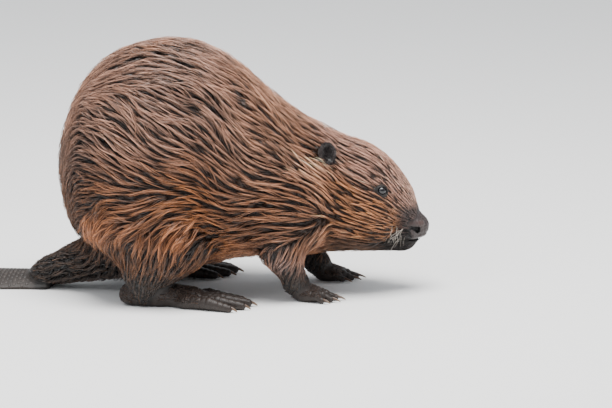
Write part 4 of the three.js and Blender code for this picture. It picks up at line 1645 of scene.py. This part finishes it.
def eye_material():
    material, nodes, links, shader = new_material("wet_eye", 0.06)
    tint = nodes.new("ShaderNodeAttribute")
    tint.attribute_name = "Tint"
    links.new(tint.outputs["Color"], shader.inputs["Base Color"])
    shader.inputs["Coat Weight"].default_value = 0.3
    shader.inputs["Coat Roughness"].default_value = 0.02
    return material


def claw_material():
    return grained("claw_horn", 0.3, (400, 0.7, 1.35), (0.25, 0.0003))


def scale_material():
    return grained("tail_scale", 0.45, (350, 0.7, 1.3), (0.35, 0.0003))


def whisker_material():
    return grained("whisker_hair", 0.35, (200, 0.8, 1.2))


# ---- The skin's piece, which takes the place of all the flesh ----
PAIRED_FLESH = ("ear", "front_leg", "front_foot", "hind_leg", "hind_foot")
FLESH = ["trunk", "neck", "head", "lower_jaw", "nose", "tail_base", "tail"]
FLESH += [f"{part}_{side}" for part in PAIRED_FLESH for side in SIDE_NAMES.values()]

skin_points, skin_faces = skin_surface()
skin = add_mesh("skin", skin_points, skin_faces, skin_material(), skin_colour(skin_points.astype(float)))
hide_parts(*FLESH)
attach(skin, "root")

# ---- The coat's pieces ----
HAIRY_AHEAD = {"front": 6, "hind": 8}  # of the ball of a foot, as far as its hair reaches


def plain(colour):
    """One colour everywhere."""
    return lambda p: np.tile(colour, (len(p), 1))


def faces_where(mask):
    """The skin's faces whose first vertex is marked."""
    return skin_faces[mask[skin_faces[:, 0]]]


def in_tufts(p):
    x, _, z = p.T
    knee = ((x + 74) / 27) ** 2 + ((z - 108) / 13) ** 2 < 1
    fringe = ((x + 152) / 44) ** 2 + ((z - 110) / 11) ** 2 < 1
    return knee | fringe


def on_ears(p):
    single = np.asarray(p, np.float32)
    near_ear = np.minimum(ears[1](single), ears[-1](single)) < 0.6
    return near_ear & (skin_base(single) > 1.5)


def on_feet(p):
    single = np.asarray(p, np.float32)
    hairy = np.zeros(len(p), bool)
    for (kind, s), part in feet.items():
        ahead = p[:, 0] - foot_ball(kind, s)[0]
        hairy |= (part(single) < 0.8) & (ahead < HAIRY_AHEAD[kind]) & (p[:, 2] > 10)
    return hairy & (skin_base(single) > 0.3)


BODY_COAT = ((UNDER_HAIR, scattered_locks), (GUARD_HAIR, locks_along_lines), (LOOSE_HAIR, scattered_locks))
for layer, locks_of in BODY_COAT:
    roots = scattered_roots(skin_points, skin_faces, layer)
    roots = roots[has_coat(roots)]
    lay_coat(layer, hairs_of_locks(layer, locks_of(layer, roots)), fur_colour)
roots = scattered_roots(skin_points, faces_where(in_tufts(skin_points)), TUFT_HAIR)
tufts = scattered_locks(TUFT_HAIR, roots, skin_base, lie_of_tufts)
lay_coat(TUFT_HAIR, hairs_of_locks(TUFT_HAIR, tufts), plain(TUFT))
for layer, place, lie, colour in (
    (EAR_HAIR, on_ears, lie_on_ear, EAR_FUR),
    (FOOT_HAIR, on_feet, lie_on_foot, LEG_FUR),
):
    roots = scattered_roots(skin_points, faces_where(place(skin_points)), layer)
    locks = scattered_locks(layer, roots, skin_distance, lie)
    lay_coat(layer, hairs_of_locks(layer, locks, short_coat=True), plain(colour))
fur = fur_material()
for name, parts in coat_parts.items():
    add_coat_piece(name, parts, fur)

# ---- Eyeballs ----
PUPIL = srgb(0.01, 0.01, 0.012)
IRIS = srgb(0.115, 0.105, 0.115)
IRIS_RIM = srgb(0.03, 0.025, 0.025)
EYEBALL_RADIUS = EYE_RADIUS - 0.12
CORNEA_BULGE = 0.45
CORNEA_WIDTH = 0.6  # radians
PUPIL_ANGLE, IRIS_ANGLE = 21, 45  # degrees from the middle of the eye
EYE_RINGS, EYE_TURNS = 40, 64


def add_eyeball(s, name, node):
    look, front, up = eye_axes(s)
    rings, turns = EYE_RINGS, EYE_TURNS
    angle = np.repeat(np.linspace(0, math.pi, rings + 1)[1:-1], turns)
    turn = np.tile(np.arange(turns) * 2 * math.pi / turns, rings - 1)
    radius = EYEBALL_RADIUS + CORNEA_BULGE * bell(angle, CORNEA_WIDTH)
    ring_place = (
        np.cos(angle)[:, None] * look
        + (np.sin(angle) * np.cos(turn))[:, None] * front
        + (np.sin(angle) * np.sin(turn))[:, None] * up
    )
    poles = np.array([look * (EYEBALL_RADIUS + CORNEA_BULGE), -look * EYEBALL_RADIUS])
    points = EYE_CENTRES[s] + np.concatenate([ring_place * radius[:, None], poles])
    faces = []
    top, bottom = len(points) - 2, len(points) - 1
    for i in range(turns):
        j = (i + 1) % turns
        faces.append((top, i, j, -1))
        for start in range(0, (rings - 2) * turns, turns):
            faces.append((start + i, start + turns + i, start + turns + j, start + j))
        faces.append(((rings - 2) * turns + i, bottom, (rings - 2) * turns + j, -1))
    faces = np.array(faces)
    if np.dot(np.cross(front, up), look) < 0:
        faces = np.where(faces[:, 3:] < 0, faces[:, [1, 0, 2, 3]], faces[:, [3, 2, 1, 0]])
    degrees = np.degrees(np.append(angle, [0, math.pi]))
    turn = np.append(turn, [0, 0])
    streaks = 0.85 + 0.3 * np.sin(turn * 17) * np.sin(turn * 29 + 1)
    iris = np.clip(IRIS * streaks[:, None], 0, 1)
    past_pupil = smoothstep(PUPIL_ANGLE - 1.5, PUPIL_ANGLE + 1.5, degrees)
    colours = mixed(np.broadcast_to(PUPIL, iris.shape), iris, past_pupil)
    colours = mixed(colours, IRIS_RIM, smoothstep(IRIS_ANGLE - 6, IRIS_ANGLE + 2, degrees))
    eyeball = add_mesh(name, points, faces, eye_finish, colours)
    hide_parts(node)
    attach(eyeball, "root")


eye_finish = eye_material()
for s, side in SIDE_NAMES.items():
    add_eyeball(s, f"eyeball_{side}", f"eye_{side}")


# ---- Tapered tubes: claws and whiskers ----
def tube(line, radii, sides, flatness=1.0):
    """A solid tube along points, round or taller than wide, with a flat start and a pointed end."""
    line = np.asarray(line, float)
    way = unit(np.gradient(line, axis=0))
    across = unit(np.cross([0, 0, 1.0], way))
    above = np.cross(way, across)
    turn = np.arange(sides) * 2 * math.pi / sides
    rings = (
        line[:-1, None]
        + (radii[:-1, None] * np.cos(turn) * flatness)[..., None] * across[:-1, None]
        + (radii[:-1, None] * np.sin(turn))[..., None] * above[:-1, None]
    )
    points = np.concatenate([rings.reshape(-1, 3), line[-1:], line[:1]])
    tip = (len(line) - 1) * sides
    faces = []
    for i in range(sides):
        j = (i + 1) % sides
        faces.append((tip + 1, j, i, -1))
        for start in range(0, tip - sides, sides):
            faces.append((start + i, start + j, start + sides + j, start + sides + i))
        faces.append((tip - sides + i, tip - sides + j, tip, -1))
    return points, np.array(faces)


CLAW_HORN = srgb(0.30, 0.22, 0.17)
CLAW_TIP = srgb(0.46, 0.37, 0.29)
CLAW_STEPS, CLAW_SIDES = 12, 12
CLAW_SUNK = 3.0  # mm that it starts back from the toe's tip
CLAW_RAISED = 0.9
CLAW_REACH = 1.5  # mm that it is longer than its stated length
CLAW_ARCH = 0.9
CLAW_FLATNESS = 0.82
CLAW_TIP_HEIGHT = 1.5


def claw(kind, i, s):
    heading, _, _, tip = toe_line(kind, i, s)
    length, radius = TOES[kind]["claw"]
    root = tip - CLAW_SUNK * heading + (0, 0, CLAW_RAISED)
    t = np.linspace(0, 1, CLAW_STEPS)
    line = root + heading * (length + CLAW_REACH) * t[:, None]
    line[:, 2] = root[2] - (root[2] - CLAW_TIP_HEIGHT) * t**2 + CLAW_ARCH * np.sin(math.pi * t)
    return tube(line, radius * (1 - 0.75 * t), CLAW_SIDES, CLAW_FLATNESS)


claw_finish = claw_material()
for kind, s in feet:
    side = SIDE_NAMES[s]
    points, faces = joined([claw(kind, i, s) for i in range(5)])
    ring_shares = np.repeat(np.linspace(0, 1, CLAW_STEPS)[:-1], CLAW_SIDES)
    t = np.tile(np.append(ring_shares, [1, 0]), 5)
    colours = mixed(CLAW_HORN, CLAW_TIP, smoothstep(0.5, 1, t))
    claws = add_mesh(f"claws_{kind}_{side}", points, faces, claw_finish, colours)
    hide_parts(*[f"{kind}_claw_{side}_{i + 1}" for i in range(5)])
    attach(claws, "root")

# ---- Tail scales ----
SCALE_PITCH = (5.4, 6.4)  # along the tail and across it
SCALE_OVERLAP = 1.12
SCALE_RINGS = ((1.0, -0.5), (0.84, 0.5), (0.45, 0.72), (0.0, 0.75))  # share of the radius, and height
SCALE_LIMIT = 0.93  # of the half width, past which there are no scales


def scale_faces():
    """The faces of one scale: its underside, two rows of sides and the middle."""
    faces = [(0, 5, 4, 3), (0, 3, 2, 1)]
    for start in (0, 6):
        for i in range(6):
            j = (i + 1) % 6
            faces.append((start + i, start + j, start + 6 + j, start + 6 + i))
    faces += [(12 + i, 12 + (i + 1) % 6, 18, -1) for i in range(6)]
    return np.array(faces)


def scale_points(along, across, width):
    """One scale's points, at a place on the paddle where its half width is given."""
    share = abs(across) / max(width, 1)
    size = 0.5 * (1 - 0.25 * share**2) * rng.uniform(0.92, 1.04)
    turn = np.arange(6) * math.pi / 3 + rng.normal(0, 0.08)
    points = []
    for radius, height in SCALE_RINGS:
        a = along + radius * size * SCALE_OVERLAP * SCALE_PITCH[0] * np.sin(turn) + rng.normal(0, 0.05)
        b = across + radius * size * SCALE_OVERLAP * SCALE_PITCH[1] * np.cos(turn)
        place = PADDLE_START + a[:, None] * TAIL_HEADING + b[:, None] * TAIL_SIDE
        top = paddle_top(a / PADDLE_LENGTH, b / np.maximum(width, 1))
        place[:, 2] = top - SCALE_HEIGHT + height
        points.append(place if radius else place[:1])
    return np.concatenate(points)


def tail_scales():
    """Domed six-sided plates in staggered rows over the top of the paddle."""
    plates = []
    colours = []
    faces = scale_faces()
    for row in range(int(PADDLE_LENGTH / SCALE_PITCH[0])):
        along = (row + 0.8) * SCALE_PITCH[0]
        t = along / PADDLE_LENGTH
        width = paddle_plan(t)[0] * math.sqrt(max(0.0, 1 - past_full(t) ** TIP_POWER))
        count = int(width / SCALE_PITCH[1] + 0.3)
        for column in range(-count, count + 1):
            across = (column + 0.5 * (row % 2)) * SCALE_PITCH[1] + rng.normal(0, 0.25)
            if abs(across) / max(width, 1) > SCALE_LIMIT:
                continue
            plates.append((scale_points(along, across, width), faces))
            colours.append(np.tile(TAIL_SKIN * rng.uniform(0.75, 1.6), (len(plates[-1][0]), 1)))
    points, faces = joined(plates)
    return points, faces, np.concatenate(colours)


points, faces, colours = tail_scales()
scales = add_mesh("tail_scales", points, faces, scale_material(), colours)
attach(scales, "root")

# ---- Whiskers ----
WHISKER = srgb(0.85, 0.81, 0.76)
WHISKER_ROOTS = (  # seen from the side
    (193, 88), (200, 92), (206, 88), (212, 86), (196, 81),
    (203, 80), (209, 78), (215, 77), (199, 75), (207, 73),
)
WHISKERS_AT_EACH = 2
WHISKER_STEPS, WHISKER_SIDES = 9, 5
WHISKER_LENGTHS = (18, 42)
WHISKER_RADII = (0.19, 0.32)
WHISKER_SUNK = 1.5
WHISKER_LEAST_HEIGHT = 2.0


def whisker_line(root, s):
    """A whisker's middle line, out from its root and drooping."""
    length = rng.uniform(*WHISKER_LENGTHS)
    out = unit(np.array([rng.uniform(-1.0, 0.35), s * rng.uniform(0.4, 1.0), rng.uniform(-0.7, 0.2)]))
    down = unit(np.array([rng.uniform(-0.8, 0.5), s * 0.15, -1.0]))
    droop = rng.uniform(0.2, 0.6)
    t = np.linspace(0, 1, WHISKER_STEPS)[:, None]
    line = root - WHISKER_SUNK * out + length * (out * (t - 0.5 * t * t) + down * droop * t * t)
    line[:, 2] = np.maximum(line[:, 2], WHISKER_LEAST_HEIGHT)
    return line, rng.uniform(*WHISKER_RADII) * (1 - 0.8 * t[:, 0])


def whiskers():
    parts, colours, spots = [], [], []
    for s in SIDES:
        mine = skin_points[skin_points[:, 1] * s > 4]
        for x, z in WHISKER_ROOTS * WHISKERS_AT_EACH:
            aim = np.array([x, z]) + rng.normal(0, 2.4, 2)
            root = mine[np.argmin(np.hypot(mine[:, 0] - aim[0], mine[:, 2] - aim[1]))].astype(float)
            parts.append(tube(*whisker_line(root, s), WHISKER_SIDES))
            count = len(parts[-1][0])
            colours.append(np.tile(WHISKER * rng.uniform(0.35, 1.1), (count, 1)))
            ring, corner = np.divmod(np.arange(count), WHISKER_SIDES)
            patch = np.stack([corner / WHISKER_SIDES, ring * WHISKER_SIDES / count], 1)
            spots.append(unwrapped(root[None]) + (patch - 0.5) * BAKE_PATCH)
    points, faces = joined(parts)
    return points, faces, np.clip(np.concatenate(colours), 0, 1), np.concatenate(spots)


points, faces, colours, spots = whiskers()
whisker_piece = add_mesh("whiskers", points, faces, whisker_material(), colours)
add_bake_map(whisker_piece, spots)
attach(whisker_piece, "root")

# ---- Stage, light and camera ----
VIEW_TARGET = Vector((0.2213, 0.0, 0.1139))
VIEW_ELEVATION = math.radians(11)
VIEW_DISTANCE = 6.633
VIEW_LENS = 300
FLOOR_HALF = 8.0


def add_floor():
    material, _, _, shader = new_material("pale_floor", 0.8)
    shader.inputs["Base Color"].default_value = (0.93, 0.93, 0.92, 1)
    mesh = bpy.data.meshes.new("floor")
    corners = [(x * FLOOR_HALF, y * FLOOR_HALF, 0) for x, y in ((-1, -1), (1, -1), (1, 1), (-1, 1))]
    mesh.from_pydata(corners, [], [(0, 1, 2, 3)])
    mesh.materials.append(material)
    floor = bpy.data.objects.new("floor", mesh)
    bpy.context.scene.collection.objects.link(floor)


def add_light(name, place, target, size, power, colour):
    light = bpy.data.lights.new(name, "AREA")
    light.shape = "RECTANGLE"
    light.size, light.size_y = size
    light.energy = power
    light.color = colour
    lamp = bpy.data.objects.new(name, light)
    bpy.context.scene.collection.objects.link(lamp)
    lamp.location = place
    lamp.rotation_euler = (Vector(target) - Vector(place)).to_track_quat("-Z", "Y").to_euler()


def add_camera():
    data = bpy.data.cameras.new("camera")
    data.lens = VIEW_LENS
    camera = bpy.data.objects.new("camera", data)
    bpy.context.scene.collection.objects.link(camera)
    back = Vector((0, -math.cos(VIEW_ELEVATION), math.sin(VIEW_ELEVATION)))
    camera.location = VIEW_TARGET + back * VIEW_DISTANCE
    camera.rotation_euler = (-back).to_track_quat("-Z", "Y").to_euler()
    bpy.context.scene.camera = camera


add_floor()
add_light("sky", (0.25, -0.55, 2.6), (0.0, 0, 0.1), (1.8, 1.6), 150, (1.0, 0.985, 0.97))
add_light("fill", (-1.9, -2.3, 2.3), (0.1, 0, 0.15), (1.5, 1.3), 24, (0.96, 0.98, 1.0))
world = bpy.data.worlds.new("soft_grey")
world.use_nodes = True
world.node_tree.nodes["Background"].inputs["Color"].default_value = (0.85, 0.88, 0.92, 1)
world.node_tree.nodes["Background"].inputs["Strength"].default_value = 0.9
bpy.context.scene.world = world
add_camera()
